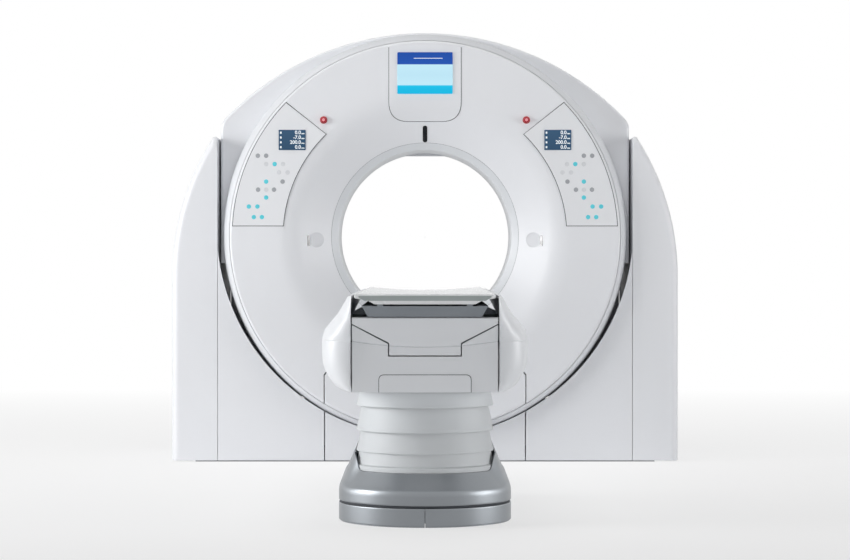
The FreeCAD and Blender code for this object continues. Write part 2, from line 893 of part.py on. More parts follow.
def x_ray_tube():
    """The tube's round housing, with the collimator below it towards the bore."""
    body = new_body("x_ray_tube", iso)
    front, up, radius = -250, 640, 105
    housing = new_sketch(body, "housing", "XZ", front)
    circle(housing, 0, up, radius)
    grow(body, housing, rotor_face() - front)
    front, half, low, high = -60, 90, 445, 560
    block(body, "collimator", "XZ", front, rotor_face() - front, -half, low, half, high)


def detector_array():
    """The curved detector, centred on the tube's focus."""
    body = new_body("detector_array", iso)
    front, focus, near, far, half_turn = -60, 545, 960, 1040, 26
    fan(body, "arc", front, rotor_face() - front, focus, near, far, half_turn)


def rotor_box(label, side):
    body = new_body(label, iso)
    front, near, far, half = -140, 560, 790, 150
    low, high = sorted((side * near, side * far))
    block(body, "case", "XZ", front, rotor_face() - front, low, -half, high, half)


def counterweight():
    """The weight below that balances the tube above."""
    body = new_body("counterweight", iso)
    front, near, far, half_turn = -60, 700, 815, 17
    fan(body, "arc", front, rotor_face() - front, 0, near, far, half_turn)


def slip_ring():
    body = new_body("slip_ring", iso)
    wall, inner, outer = 14, 560, 640
    ring(body, "disc", dim("rotor_back"), wall, inner, outer)


# ---------------------------------------------------------------- couch: base, columns and skirts


def couch_floor_plate():
    """The plate on the floor under the couch, with its four anchor holes."""
    body = new_body("couch_floor_plate")
    wall, half, reach = dim("floor_plate_wall"), dim("floor_plate_half"), dim("floor_plate_reach")
    front, rear = dim("base_front_centre"), dim("base_rear_centre")
    block(body, "plan", "XY", 0, wall, -half, front - reach, half, rear + reach)
    holes = new_sketch(body, "anchor_holes", "XY", 0)
    for side in (-1, 1):
        for end in (front, rear):
            circle(holes, side * dim("couch_anchor_across"), end, dim("couch_anchor_hole"))
    sink(body, holes, wall)


def floor_duct():
    """The low channel on the floor that takes the cables from the couch to the gantry."""
    body = new_body("floor_duct")
    half, tall = 70, 16
    couch_end = dim("base_rear_centre") + dim("plinth_radius")
    block(body, "channel", "XY", 0, tall, -half, couch_end, half, -dim("base_half_depth"))


def couch_plinth():
    body = new_body("couch_plinth")
    radius, top = dim("plinth_radius"), dim("plinth_top")
    plan = new_sketch(body, "plan", "XY", 0)
    stadium(plan, radius)
    stadium(plan, radius - dim("plinth_wall"))
    grow(body, plan, top)


def couch_base_cover():
    """The metal cover over the plinth: upright below, then drawn in to the skirts."""
    body = new_body("couch_base_cover")
    low, shoulder = dim("plinth_top"), dim("base_shoulder")
    radius, top, throat = dim("plinth_radius"), dim("base_top"), 225
    lower = new_sketch(body, "lower", "XY", low)
    stadium(lower, radius)
    grow(body, lower, shoulder - low)
    upper = new_sketch(body, "upper", "XY", shoulder)
    stadium(upper, radius)
    grow(body, upper, top - shoulder, dim("base_taper"))
    inside = new_sketch(body, "inside", "XY", low - over)
    stadium(inside, throat)
    sink(body, inside, top - low + 2 * over)
    recess = new_sketch(body, "recess", "XY", low - over)
    stadium(recess, radius - dim("plinth_wall"))
    sink(body, recess, 36)


def skirts():
    """The moving bands of the skirt: thin walls, each wider at its foot."""
    radius, wall, flare = dim("skirt_radius"), dim("skirt_wall"), dim("skirt_flare")
    for label, low, tall in SKIRTS:
        body = new_body(label)
        outside = new_sketch(body, "outside", "XY", low)
        stadium(outside, radius)
        grow(body, outside, tall, flare)
        inside = new_sketch(body, "inside", "XY", low - over)
        stadium(inside, radius - wall + 0.2)
        sink(body, inside, tall + 2 * over, flare)


def skirt_collar():
    """The fixed lowest band, standing on the base's rim."""
    body = new_body("skirt_collar")
    low, step, tall, throat = dim("base_top"), dim("collar_step"), 72, 219
    foot = new_sketch(body, "foot", "XY", low)
    stadium(foot, dim("collar_radius"))
    grow(body, foot, step - low)
    band = new_sketch(body, "band", "XY", step)
    stadium(band, dim("skirt_radius"))
    grow(body, band, tall, dim("skirt_flare"))
    inside = new_sketch(body, "inside", "XY", low - over)
    stadium(inside, throat)
    sink(body, inside, step + tall - low + 2 * over)


def lift_columns():
    """The fixed outer tubes of the two telescopic columns."""
    half, tall, floor, wall = dim("column_half"), 410, 12, 11
    low = dim("floor_plate_wall")
    for word, y in COLUMN_PLACES.items():
        body = new_body(word + "_lift_column")
        block(body, "tube", "XY", low, tall, -half, y - half, half, y + half)
        inside = new_sketch(body, "inside", "XY", low + floor)
        rectangle(inside, wall - half, y - half + wall, half - wall, y + half - wall)
        sink(body, inside, tall)


# ---------------------------------------------------------------- couch: what the lift carries


def shell_inside(y):
    """How far the side shell's inner face stands from the middle at y, at the cross members' top."""
    seam, share = SIZES["shell_seam"], 0.6
    for (y_0, wide_0, _), (y_1, wide_1, _) in zip(SHELL_STATIONS, SHELL_STATIONS[1:]):
        if y_0 <= y <= y_1:
            widest = wide_0 + (wide_1 - wide_0) * (y - y_0) / (y_1 - y_0)
    return seam + (widest - seam) * share


def couch_frame():
    """Two long beams and cross members, with the inner tubes of the columns hanging below."""
    body = new_body("couch_frame")
    foot, head, top = dim("couch_foot") + 64, dim("couch_head") - 4, dim("couch_top") + 2
    low, near, far = dim("beam_bottom"), dim("beam_inner"), dim("beam_outer")
    member_low, member_tall, gap = 627, 50, 0.2
    block(body, "left_beam", "XY", low, top - low, -far, foot, -near, head)
    for step, (y, width) in enumerate(CROSS_MEMBERS, start=1):
        reach = min(shell_inside(y), shell_inside(y + width)) - gap
        block(body, f"cross_{step}", "XY", member_low, member_tall, -reach, y, reach, y + width)
    block(body, "right_beam", "XY", low, top - low, near, foot, far, head)
    half, tube_low, tube_tall = dim("inner_column_half"), 235, 420
    for word, y in COLUMN_PLACES.items():
        block(body, word + "_tube", "XY", tube_low, tube_tall, -half, y - half, half, y + half)


def foot_section(body, name):
    """The front end's plate, seen from the side: it leans out above the crease."""
    half, foot, wall, return_wall = dim("foot_panel_half"), dim("couch_foot"), 8, 10
    low, crease, top = dim("couch_bottom"), dim("crease_height"), dim("couch_top")
    upright, ledge = foot + 26, foot + 60
    profile = new_sketch(body, name, "YZ", -half)
    outline(
        profile,
        [
            (upright, low),
            (upright + wall, low),
            (upright + wall, crease),
            (foot + 14, top - return_wall),
            (ledge, top - return_wall),
            (ledge, top),
            (foot + 10, top),
            (foot, top - 12),
            (upright, crease),
        ],
    )
    grow(body, profile, half * 2)


def seam_line(inset):
    """The upper cover's lower edge, as seen from the foot end."""
    half, over_side, corner = dim("foot_panel_half"), 20, 122
    roof = dim("couch_top") + over_side
    return [
        (-half - over_side, roof),
        (-half - over_side, 700 + inset),
        (-half, 690 + inset),
        (inset - corner, 624 + inset),
        (inset - corner, 582 + inset),
        (corner - inset, 582 + inset),
        (corner - inset, 624 + inset),
        (half, 690 + inset),
        (half + over_side, 700 + inset),
        (half + over_side, roof),
    ]


def foot_panels():
    """The couch's front end: the lower panel, the upper cover, and the access panel at the foot."""
    foot, low, seam_gap, through = dim("couch_foot"), dim("couch_bottom"), 1.2, 80
    panel = new_body("foot_panel")
    foot_section(panel, "profile")
    opening = new_sketch(panel, "opening", "XZ", foot - over)
    outline(opening, list(reversed(seam_line(0))))
    sink(panel, opening, through)
    cover = new_body("foot_upper_cover")
    foot_section(cover, "profile")
    side = dim("foot_panel_half") + 20
    around = new_sketch(cover, "around", "XZ", foot - over)
    outline(around, seam_line(seam_gap)[1:-1] + [(side, low - over), (-side, low - over)])
    sink(cover, around, through)
    hatch = new_body("foot_access_panel")
    half, top, bend, proud = 154, 518, 17, 3
    plate = new_sketch(hatch, "plate", "XZ", foot + 26 - proud)
    outline(
        plate,
        [
            (-half, low),
            (half, low),
            (half, top - bend, bend),
            (half - bend, top),
            (bend - half, top, bend),
            (-half, top - bend),
        ],
    )
    grow(hatch, plate, proud)


def side_section(y, widest, low):
    """The side shell's wall, cut across the couch at y. Each point is a share of the swell and a height."""
    seam, foot, crease, top = SIZES["shell_seam"], 460, 620, 784

    def up(z):
        return low + (z - foot) * (crease - low) / (crease - foot) if z < crease else z

    outer = [(0, foot), (0.12, foot), (0.8, 497), (1, 560), (0.98, crease), (0.78, 682)]
    outer += [(0.16, top), (0, top)]
    inner = [(0, top - 10), (0.1, top - 10), (0.91, 618), (0.75, 505), (0.1, foot + 9), (0, foot + 9)]
    return [Vector(seam + (widest - seam) * share, y, up(z)) for share, z in outer + inner]


def side_shell(label, side):
    """A long shell beside the couch, swelling outwards towards the middle of its length."""
    feature = doc.addObject("Part::Feature", label)
    feature.Label = label
    wires = []
    for station in SHELL_STATIONS:
        points = side_section(*station)
        wires.append(Part.makePolygon(points + points[:1]))
    shape = Part.makeLoft(wires, True, True)
    if side < 0:
        shape = shape.mirror(Vector(0, 0, 0), Vector(1, 0, 0))
    feature.Shape = shape
    feature.Placement = Placement()
    parts.append(feature)


def belly_pan():
    """The plate that closes the couch from below, with the hole that the skirts rise through."""
    body = new_body("couch_belly_pan")
    start, bend, head = dim("couch_foot") + 36, dim("belly_bend"), dim("couch_head")
    low, high, half, wall = dim("couch_bottom"), dim("head_bottom"), dim("foot_panel_half") + 2, 6
    profile = new_sketch(body, "profile", "YZ", -half)
    outline(
        profile,
        [
            (start, low),
            (bend, low),
            (head, high),
            (head, high + wall),
            (bend - 1, low + wall),
            (start, low + wall),
        ],
    )
    grow(body, profile, half * 2)
    hole = new_sketch(body, "hole", "XY", low - over)
    stadium(hole, dim("skirt_radius") - 2)
    sink(body, hole, 20)


def gantry_end_cover():
    """The plate that closes the couch towards the gantry."""
    body = new_body("couch_end_cover")
    wall, low, top = 8, dim("head_bottom"), 708
    face = new_sketch(body, "plate", "XZ", dim("couch_head"))
    corners = [(262, low), (324, 606), (338, 622), (318, 682), (262, top)]
    outline(face, corners + [(-x, z) for x, z in reversed(corners)])
    grow(body, face, wall)


def rail_bed():
    """The long trough under the tabletop, with the two runners that the tabletop slides on."""
    body = new_body("rail_bed")
    low, top, flat, floor = dim("couch_top") + 2, dim("rail_top"), dim("table_flat_half"), 10
    foot_half, top_half, lip = 190, 213, 176
    near, far, slide_gap = 140, 160, 0.4
    start, end_gap = dim("couch_foot") - 6, 4
    section = new_sketch(body, "section", "XZ", start)
    right = [
        (foot_half, low),
        (top_half, top),
        (lip, top),
        (flat, low + floor),
        (far, low + floor),
        (far, dim("table_bottom") - slide_gap),
        (near, dim("table_bottom") - slide_gap),
        (near, low + floor),
    ]
    outline(section, right + [(-x, z) for x, z in reversed(right)])
    grow(body, section, dim("couch_head") - end_gap - start)


def tabletop():
    """The shallow cradle, thicker in the middle, with turned-up edges."""
    body = new_body("tabletop")
    half, flat = dim("table_half_width"), dim("table_flat_half")
    low, top = dim("table_bottom"), dim("table_top")
    foot, head, hollow, edge = dim("table_foot"), dim("table_head"), 2100, 10
    section = new_sketch(body, "section", "XZ", foot)
    outline(
        section,
        [
            (-flat, low),
            (flat, low),
            (half - 42, low + 16),
            (half, low + 20),
            (half, top),
            (half - edge, top, -hollow),
            (edge - half, top),
            (-half, top),
            (-half, low + 20),
            (42 - half, low + 16),
        ],
    )
    grow(body, section, head - foot)


def tabletop_end_cap():
    """The cap on the foot end of the tabletop."""
    body = new_body("tabletop_end_cap")
    half, flat = dim("table_half_width"), dim("table_flat_half")
    low, top = dim("table_bottom"), dim("table_top")
    wall, inset = 7, 3
    face = new_sketch(body, "face", "XZ", dim("table_foot") - wall)
    corners = [(flat - 4, low), (half - 40, low + 14), (half - inset, low + 18), (half - inset, top - 4)]
    outline(face, corners + [(-x, z) for x, z in reversed(corners)])
    grow(body, face, wall)


# ---------------------------------------------------------------- building and writing


def finish():
    doc.recompute()
    for item in doc.Objects:
        if "Invalid" in item.State or "Error" in item.State:
            raise RuntimeError(f"{item.Label} failed: {item.State}")
    os.makedirs("parts", exist_ok=True)
    for body in parts:
        shape = body.Shape
        if shape.isNull() or not shape.isValid():
            raise RuntimeError(f"{body.Label} has no valid shape")
        shape.exportStep(f"parts/{body.Label}.step")


gantry_base_plate()
lower_covers()
tilt_gearmotor()
for word, side in (("left", -1), ("right", 1)):
    stand(word + "_stand", side)
    tilt_bearing(word + "_tilt_bearing", side)
    side_cover(word + "_side_cover", side)
    control_panel(word + "_control_panel", side)
    panel_display(word + "_panel_display", side)
    estop_button(word + "_estop_button", side)
    side_shell(word + "_side_shell", side)
tilt_frame()
main_bearing()
bore_liner()
front_cover()
front_service_panel()
ring_trim()
rear_cover()
hood()
lower_drum_cover()
display_surround()
main_display()
estop_sockets()
laser_windows()
bore_indicator()
rotor_drum()
x_ray_tube()
detector_array()
rotor_box("generator", -1)
rotor_box("heat_exchanger", 1)
counterweight()
slip_ring()
couch_floor_plate()
floor_duct()
couch_plinth()
couch_base_cover()
skirts()
skirt_collar()
lift_columns()
couch_frame()
foot_panels()
belly_pan()
gantry_end_cover()
rail_bed()
tabletop()
tabletop_end_cap()
finish()
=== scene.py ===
import math

import bmesh
import bpy
from mathutils import Matrix, Vector


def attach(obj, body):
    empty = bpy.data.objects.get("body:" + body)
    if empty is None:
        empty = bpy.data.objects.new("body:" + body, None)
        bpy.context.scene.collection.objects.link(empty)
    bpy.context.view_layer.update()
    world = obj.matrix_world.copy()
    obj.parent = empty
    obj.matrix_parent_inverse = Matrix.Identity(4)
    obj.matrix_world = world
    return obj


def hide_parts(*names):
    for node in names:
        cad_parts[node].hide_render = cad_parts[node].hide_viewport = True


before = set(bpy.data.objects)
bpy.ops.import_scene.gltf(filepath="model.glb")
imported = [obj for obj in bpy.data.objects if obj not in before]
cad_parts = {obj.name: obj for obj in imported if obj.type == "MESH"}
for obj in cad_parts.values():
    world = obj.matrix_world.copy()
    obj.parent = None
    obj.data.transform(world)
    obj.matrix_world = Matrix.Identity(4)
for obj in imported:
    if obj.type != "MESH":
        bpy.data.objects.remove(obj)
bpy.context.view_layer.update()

# A CT scanner: a tilting drum between two side covers, with a patient couch in front of it.
# Sizes are in millimetres until a piece is finished; piece() brings them to metres.
MM = 0.001
ISO = 1010            # height of the bore's centre above the floor
THROAT = 390          # radius of the bore
LIP = 421             # where the liner's turned-out ends stop and the covers start
FACE = 462            # how far the drum's faces stand from its middle
FLARE = 600           # where the front flare meets the flat face
FLARE_START = 332     # how deep the front flare leaves the throat
FLARE_RISE, FLARE_RUN = FACE - FLARE_START, FLARE - THROAT
REAR_FLARE = 640
RIM, RIM_DEPTH = 872, 435
DRUM, DRUM_EDGE = 905, 366
COVER_DEPTH = 400     # how far the side covers stand from the middle
COVER_INNER, COVER_OUTER, COVER_KNEE = 930, 1134.9, 834
FOOT_END, HEAD_END = -2957, -2350    # centres of the round ends of the couch's base
SEAM = 246            # where the side shells start, across the couch


# ---------------------------------------------------------------- outlines


def arc(centre, radius, start, stop, steps):
    """Points on an arc, from one angle in degrees to another."""
    turns = [math.radians(start + (stop - start) * i / steps) for i in range(steps + 1)]
    return [(centre[0] + radius * math.cos(t), centre[1] + radius * math.sin(t)) for t in turns]


def bend(before, corner, after, steps=8):
    """A smooth curve from one point to another that leaves a corner on its outer side."""
    points = []
    for i in range(steps + 1):
        t = i / steps
        shares = ((1 - t) ** 2, 2 * t * (1 - t), t * t)
        points.append(tuple(sum(s * p[k] for s, p in zip(shares, (before, corner, after))) for k in (0, 1)))
    return points


def rounded(corners, steps=6):
    """A closed outline through (x, z, reach) corners, each eased over its reach along both sides."""
    outline = []
    for i, (x, z, reach) in enumerate(corners):
        here = Vector((x, z))
        if not reach:
            outline.append((x, z))
            continue
        sides = []
        for other in (corners[i - 1], corners[(i + 1) % len(corners)]):
            sides.append(here + (Vector(other[:2]) - here).normalized() * reach)
        outline += bend(sides[0], here, sides[1], steps)
    return outline


def rounded_box(low, high, reach, steps=6):
    """A rectangle between two (x, z) corners, with its own corners eased."""
    corners = (low, (high[0], low[1]), high, (low[0], high[1]))
    return rounded([c + (reach,) for c in corners], steps)


def mirrored(corners):
    """Corners on the right, given from low to high, with their mirror images on the left."""
    return list(corners) + [(-c[0],) + tuple(c[1:]) for c in reversed(corners)]


def rise(radius, across):
    return math.sqrt(radius * radius - across * across)


def above(points, lift=ISO):
    """Points given from the bore's centre, lifted to their height above the floor."""
    return [(x, z + lift) for x, z in points]


# ---------------------------------------------------------------- meshes


def skin_rings(mesh, rings, closed_round=True, closed_along=False):
    """Faces between rings of vertices, each ring the same number of points."""
    count = len(rings[0])
    for i in range(len(rings) if closed_along else len(rings) - 1):
        low, high = rings[i], rings[(i + 1) % len(rings)]
        for j in range(count if closed_round else count - 1):
            k = (j + 1) % count
            mesh.faces.new((low[j], low[k], high[k], high[j]))
    if not closed_along:
        mesh.faces.new(rings[0])
        mesh.faces.new(list(reversed(rings[-1])))


def slab(outline, front, back, mesh=None):
    """A plate with an outline in x and z, from one depth to another."""
    mesh = mesh or bmesh.new()
    rings = [[mesh.verts.new((x, y, z)) for x, z in outline] for y in (front, back)]
    skin_rings(mesh, rings)
    return mesh


def box(low, high, mesh=None):
    outline = [(low[0], low[2]), (high[0], low[2]), (high[0], high[2]), (low[0], high[2])]
    return slab(outline, low[1], high[1], mesh)


def pillow(outline_at, front, back, edge, steps=6):
    """A block whose two long edges are rounded: outline_at gives its outline for an inset."""
    mesh = bmesh.new()
    layers = []
    for i in range(steps + 1):
        turn = math.radians(90 * i / steps)
        layers.append((edge * (1 - math.sin(turn)), edge * (1 - math.cos(turn))))
    places = [(front + deep, inset) for inset, deep in layers]
    places += [(back - deep, inset) for inset, deep in reversed(layers)]
    skin_rings(mesh, [[mesh.verts.new((x, y, z)) for x, z in outline_at(inset)] for y, inset in places])
    return mesh


def spun(profile, segments=256, centre=(0, ISO), start=0.0, sweep=360.0):
    """A closed (radius, depth) outline turned about a line along the bore's direction."""
    mesh = bmesh.new()
    whole = sweep == 360.0
    rings = []
    for i in range(segments if whole else segments + 1):
        turn = math.radians(start + sweep * i / segments)
        c, s = math.cos(turn), math.sin(turn)
        rings.append([mesh.verts.new((centre[0] + r * c, y, centre[1] + r * s)) for r, y in profile])
    skin_rings(mesh, rings, closed_along=whole)
    return mesh


def stadium(steps=44):
    """Directions round the couch's base, as (cos, sin, centre) with the foot end first."""
    plan = []
    for centre, start in ((FOOT_END, 180), (HEAD_END, 0)):
        for i in range(steps + 1):
            turn = math.radians(start + 180 * i / steps)
            plan.append((math.cos(turn), math.sin(turn), centre))
    return plan


def swept(profile_at):
    """A closed (radius, height) outline swept round the base. profile_at takes (cos, sin, centre)."""
    mesh = bmesh.new()
    rings = []
    for c, s, centre in stadium():
        profile = profile_at(c, s, centre)
        rings.append([mesh.verts.new((r * c, centre + r * s, z)) for r, z in profile])
    skin_rings(mesh, rings, closed_along=True)
    return mesh


# ---------------------------------------------------------------- finishing a piece


def as_object(name, mesh):
    """An object in metres from a mesh in millimetres, closed and with its faces outwards."""
    bmesh.ops.remove_doubles(mesh, verts=mesh.verts, dist=0.01)
    bmesh.ops.recalc_face_normals(mesh, faces=mesh.faces)
    bmesh.ops.scale(mesh, vec=(MM, MM, MM), verts=mesh.verts)
    data = bpy.data.meshes.new(name)
    mesh.to_mesh(data)
    mesh.free()
    obj = bpy.data.objects.new(name, data)
    bpy.context.scene.collection.objects.link(obj)
    return obj


def settle(obj):
    """Makes the result of an object's modifiers its mesh, and takes the modifiers off."""
    graph = bpy.context.evaluated_depsgraph_get()
    data = bpy.data.meshes.new_from_object(obj.evaluated_get(graph), depsgraph=graph)
    obj.modifiers.clear()
    obj.data = data


def finished(obj, finish, body, stands_for=(), sharp=34):
    data = obj.data
    data.materials.clear()
    data.materials.append(finish)
    data.shade_smooth()
    data.set_sharp_from_angle(angle=math.radians(sharp))
    evened = obj.modifiers.new("evened", "WEIGHTED_NORMAL")
    evened.keep_sharp = True
    settle(obj)
    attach(obj, body)
    if stands_for:
        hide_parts(*stands_for)
    return obj


def piece(name, mesh, finish, body, stands_for=(), steps=(), sharp=34):
    """A piece of the scanner. Each step rounds edges (width, segments) or cuts with another mesh."""
    obj = as_object(name, mesh)
    tools = []
    for kind, *what in steps:
        if kind == "BEVEL":
            width, rounds = what
            edges = obj.modifiers.new("edges", "BEVEL")
            edges.width = width * MM
            edges.segments = rounds
            edges.limit_method = "ANGLE"
            edges.angle_limit = math.radians(40)
        else:
            tool = as_object(name + "_tool", what[0])
            tools.append(tool)
            cut = obj.modifiers.new("cut", "BOOLEAN")
            cut.operation = kind
            cut.solver = "EXACT"
            cut.object = tool
    if steps:
        settle(obj)
    for tool in tools:
        bpy.data.objects.remove(tool)
    return finished(obj, finish, body, stands_for, sharp)


# ---------------------------------------------------------------- finishes


def linear(code):
    """An sRGB hex colour as the linear values that the shader takes."""
    parts = [int(code[i:i + 2], 16) / 255 for i in (1, 3, 5)]
    return tuple(p / 12.92 if p <= 0.04045 else ((p + 0.055) / 1.055) ** 2.4 for p in parts) + (1.0,)


def add(tree, kind, inputs=None, **settings):
    """A node of one kind, with its settings, and with its inputs set or linked."""
    node = tree.nodes.new(kind)
    for word, value in settings.items():
        setattr(node, word, value)
    for word, value in (inputs or {}).items():
        if isinstance(value, bpy.types.NodeSocket):
            tree.links.new(value, node.inputs[word])
        else:
            node.inputs[word].default_value = value
    return node


def noise(tree, place, scale, detail):
    """Noise at a place, with its features' number per metre as the scale."""
    return add(tree, "ShaderNodeTexNoise", {"Vector": place, "Scale": scale, "Detail": detail}).outputs["Fac"]


def reckoned(tree, operation, *values):
    """The result of one math node."""
    return add(tree, "ShaderNodeMath", dict(enumerate(values)), operation=operation).outputs[0]


def surface(name, tones, patch, roughness, grain, depth, stretch=(1, 1, 1), **on_shader):
    """A finish whose tone drifts between two colours over patches of some millimetres, whose gloss
    varies with them, and whose grain, in millimetres, stands up by depth millimetres."""
    finish = bpy.data.materials.new(name)
    finish.use_nodes = True
    tree = finish.node_tree
    tree.nodes.clear()
    place = add(tree, "ShaderNodeTexCoord").outputs["Object"]
    turned = add(tree, "ShaderNodeMapping", {"Vector": place, "Scale": stretch}).outputs["Vector"]
    drift = noise(tree, place, 1000 / patch, 3.0)
    fine = noise(tree, turned, 1000 / grain, 2.0)
    tone = add(tree, "ShaderNodeMix", {0: drift, 6: linear(tones[0]), 7: linear(tones[1])}, data_type="RGBA")
    low, high = roughness
    gloss = add(tree, "ShaderNodeMapRange", {"Value": fine, "To Min": low, "To Max": high}).outputs["Result"]
    bump = add(tree, "ShaderNodeBump", {"Height": fine, "Strength": 1.0, "Distance": depth * MM})
    shader = add(tree, "ShaderNodeBsdfPrincipled", {
        "Base Color": tone.outputs[2], "Roughness": gloss, "Normal": bump.outputs["Normal"], **on_shader})
    add(tree, "ShaderNodeOutputMaterial", {"Surface": shader.outputs["BSDF"]})
    return finish


def shader_of(finish):
    return next(n for n in finish.node_tree.nodes if n.type == "BSDF_PRINCIPLED")


# Polyurethane cover, moulded and sprayed with satin two-part paint: cool white, with faint orange peel.
# The peel of about 1 mm is drawn at 7 mm so that it shows.
SPRAYED = surface("sprayed_polyurethane", ("#E9EAED", "#E4E6EA"), 900, (0.36, 0.44), 7, 0.012,
                  **{"Coat Weight": 0.12, "Coat Roughness": 0.25})
# The same paint on the couch's long shells, a little softer in tone.
SHELL_PAINT = surface("sprayed_shell_paint", ("#E7E9EC", "#E2E5E9"), 700, (0.34, 0.42), 7, 0.012,
                      **{"Coat Weight": 0.15, "Coat Roughness": 0.22})
# Pale grey ABS of the band and the bore's indicator, moulded with a fine matt texture.
MOULDED_GREY = surface("moulded_grey_abs", ("#E0E2E5", "#DADCE0"), 260, (0.48, 0.58), 3, 0.02)
# Polycarbonate bore tube, formed from smooth white sheet: a little glossier than the covers.
ROLLED_SHEET = surface("formed_white_polycarbonate", ("#DCDFE2", "#D7DADE"), 500, (0.34, 0.4), 12, 0.004,
                       **{"Coat Weight": 0.05, "Coat Roughness": 0.3})
# Dark strips behind the seams between parts: painted shade standing in for the shadow in those gaps.
SEAM_SHADE = surface("painted_seam_shade", ("#4A4D52", "#3E4146"), 60, (0.7, 0.85), 2, 0.03)
# Smoked acrylic over the lasers, polished: almost black, with a clean reflection.
SMOKED = surface("smoked_acrylic", ("#0C0D10", "#15171B"), 40, (0.05, 0.09), 5, 0.002,
                 **{"Coat Weight": 0.8, "Coat Roughness": 0.03})
# Thermoplastic elastomer skirt bands, moulded: soft, pale, with a sheen that lifts at grazing light.
ELASTOMER = surface("moulded_elastomer", ("#D3D6D8", "#C9CDD0"), 320, (0.5, 0.62), 4, 0.03,
                    **{"Sheen Weight": 0.25, "Sheen Roughness": 0.4})
# Aluminium sheet, formed, glass-blasted and clear anodised: satin, with grey gradients from what it reflects.
# Its tone is darker than the metal's own: a painted reflection of a dark room, as the room it reflects is
# white.
ANODISED = surface("anodised_aluminium", ("#8C9094", "#85898D"), 180, (0.34, 0.42), 2.5, 0.006,
                   stretch=(1, 1, 0.25), Metallic=1.0)
# Carbon-fibre cradle under white gelcoat: hard and smooth, with a slow wave from the lay-up.
GELCOAT = surface("white_gelcoat", ("#EDEFF0", "#E6E9EA"), 240, (0.22, 0.3), 16, 0.02,
                  **{"Coat Weight": 0.3, "Coat Roughness": 0.12})
# Grey-green moulded insert in the tabletop's end.
INSERT = surface("grey_green_abs", ("#A9B1B0", "#9FA8A8"), 90, (0.45, 0.55), 2, 0.02)
# Polyester membrane over the keypads, printed and matt.
MEMBRANE = surface("printed_polyester", ("#E8E9EC", "#E5E7EA"), 120, (0.42, 0.5), 2, 0.006)
KEY_GREY = surface("printed_key_grey", ("#A4A7AB", "#9B9EA3"), 20, (0.4, 0.5), 1.5, 0.006)
KEY_CYAN = surface("printed_key_cyan", ("#63D3E0", "#55C8D8"), 20, (0.4, 0.5), 1.5, 0.006)
KEY_PALE = surface("printed_key_pale", ("#D9DBDE", "#D4D6DA"), 20, (0.4, 0.5), 1.5, 0.006)
# Stop button, injection-moulded polyamide, and the paler pink disc in its middle.
STOP_RED = surface("red_polyamide", ("#B3202E", "#9E1B28"), 15, (0.3, 0.4), 1.2, 0.01)
STOP_PINK = surface("pale_pink_polyamide", ("#F0A9B0", "#E8969F"), 10, (0.35, 0.45), 1.2, 0.01)
# Steel plate under grey powder coat, with the pebbled skin that the powder leaves.
POWDER_COAT = surface("powder_coated_steel", ("#8D9298", "#80868C"), 200, (0.5, 0.65), 2.5, 0.05)
# Ground bearing steel: bright, with fine marks round it.
GROUND_STEEL = surface("ground_bearing_steel", ("#B9BCC0", "#A7ABAF"), 60, (0.22, 0.34), 1.5, 0.01,
                       Metallic=1.0)
# Grey cast iron, painted thinly.
CAST_IRON = surface("painted_cast_iron", ("#5B5F64", "#4D5155"), 90, (0.55, 0.75), 4, 0.15)
# Sand-cast aluminium, machined on its faces.
CAST_ALLOY = surface("cast_aluminium", ("#A9ADB0", "#989DA1"), 110, (0.4, 0.55), 3, 0.06, Metallic=0.9)
# Hard PVC channel.
DUCT_PVC = surface("extruded_pvc", ("#9EA2A6", "#94989D"), 150, (0.4, 0.5), 3, 0.01,
                   stretch=(1, 0.05, 1))


def slip_ring_finish():
    """Epoxy disc with copper tracks let into it, turned smooth: warm bright rings on near black."""
    finish = surface("turned_slip_ring", ("#2A2C2F", "#222427"), 50, (0.3, 0.45), 1.5, 0.01)
    tree, shader = finish.node_tree, shader_of(finish)
    place = add(tree, "ShaderNodeTexCoord").outputs["Object"]
    centred = add(tree, "ShaderNodeMapping", {
        "Vector": place, "Location": (0, 0, -ISO * MM), "Scale": (1, 0, 1)}).outputs["Vector"]
    across = add(tree, "ShaderNodeVectorMath", {0: centred}, operation="LENGTH").outputs["Value"]
    # 700 radians to the metre put the tracks 9 mm apart
    wave = reckoned(tree, "SINE", reckoned(tree, "MULTIPLY", across, 700.0))
    copper = reckoned(tree, "GREATER_THAN", wave, 0.2)
    old = shader.inputs["Base Color"].links[0].from_socket
    tone = add(tree, "ShaderNodeMix", {0: copper, 6: old, 7: linear("#C98254")}, data_type="RGBA")
    tree.links.new(tone.outputs[2], shader.inputs["Base Color"])
    tree.links.new(copper, shader.inputs["Metallic"])
    return finish


def screen_finish(name, bands, low, high):
    """A lit liquid-crystal panel behind glass: plain bands of colour from low to high."""
    finish = surface(name, ("#101418", "#14191E"), 40, (0.06, 0.1), 6, 0.001)
    tree, shader = finish.node_tree, shader_of(finish)
    place = add(tree, "ShaderNodeTexCoord").outputs["Object"]
    height = add(tree, "ShaderNodeSeparateXYZ", {0: place}).outputs["Z"]
    share = add(tree, "ShaderNodeMapRange", {"Value": height, "From Min": (ISO + low) * MM,
                                             "From Max": (ISO + high) * MM}).outputs["Result"]
    ramp = add(tree, "ShaderNodeValToRGB", {"Fac": share})
    stops = ramp.color_ramp.elements
    for i, (at, code) in enumerate(bands):
        stop = stops[i] if i < 2 else stops.new(at)
        stop.position = at
        stop.color = linear(code)
    tree.links.new(ramp.outputs["Color"], shader.inputs["Emission Color"])
    shader.inputs["Emission Strength"].default_value = 1.0
    # the anti-reflection film on the glass keeps the room out of the colours
    shader.inputs["Specular IOR Level"].default_value = 0.1
    return finish


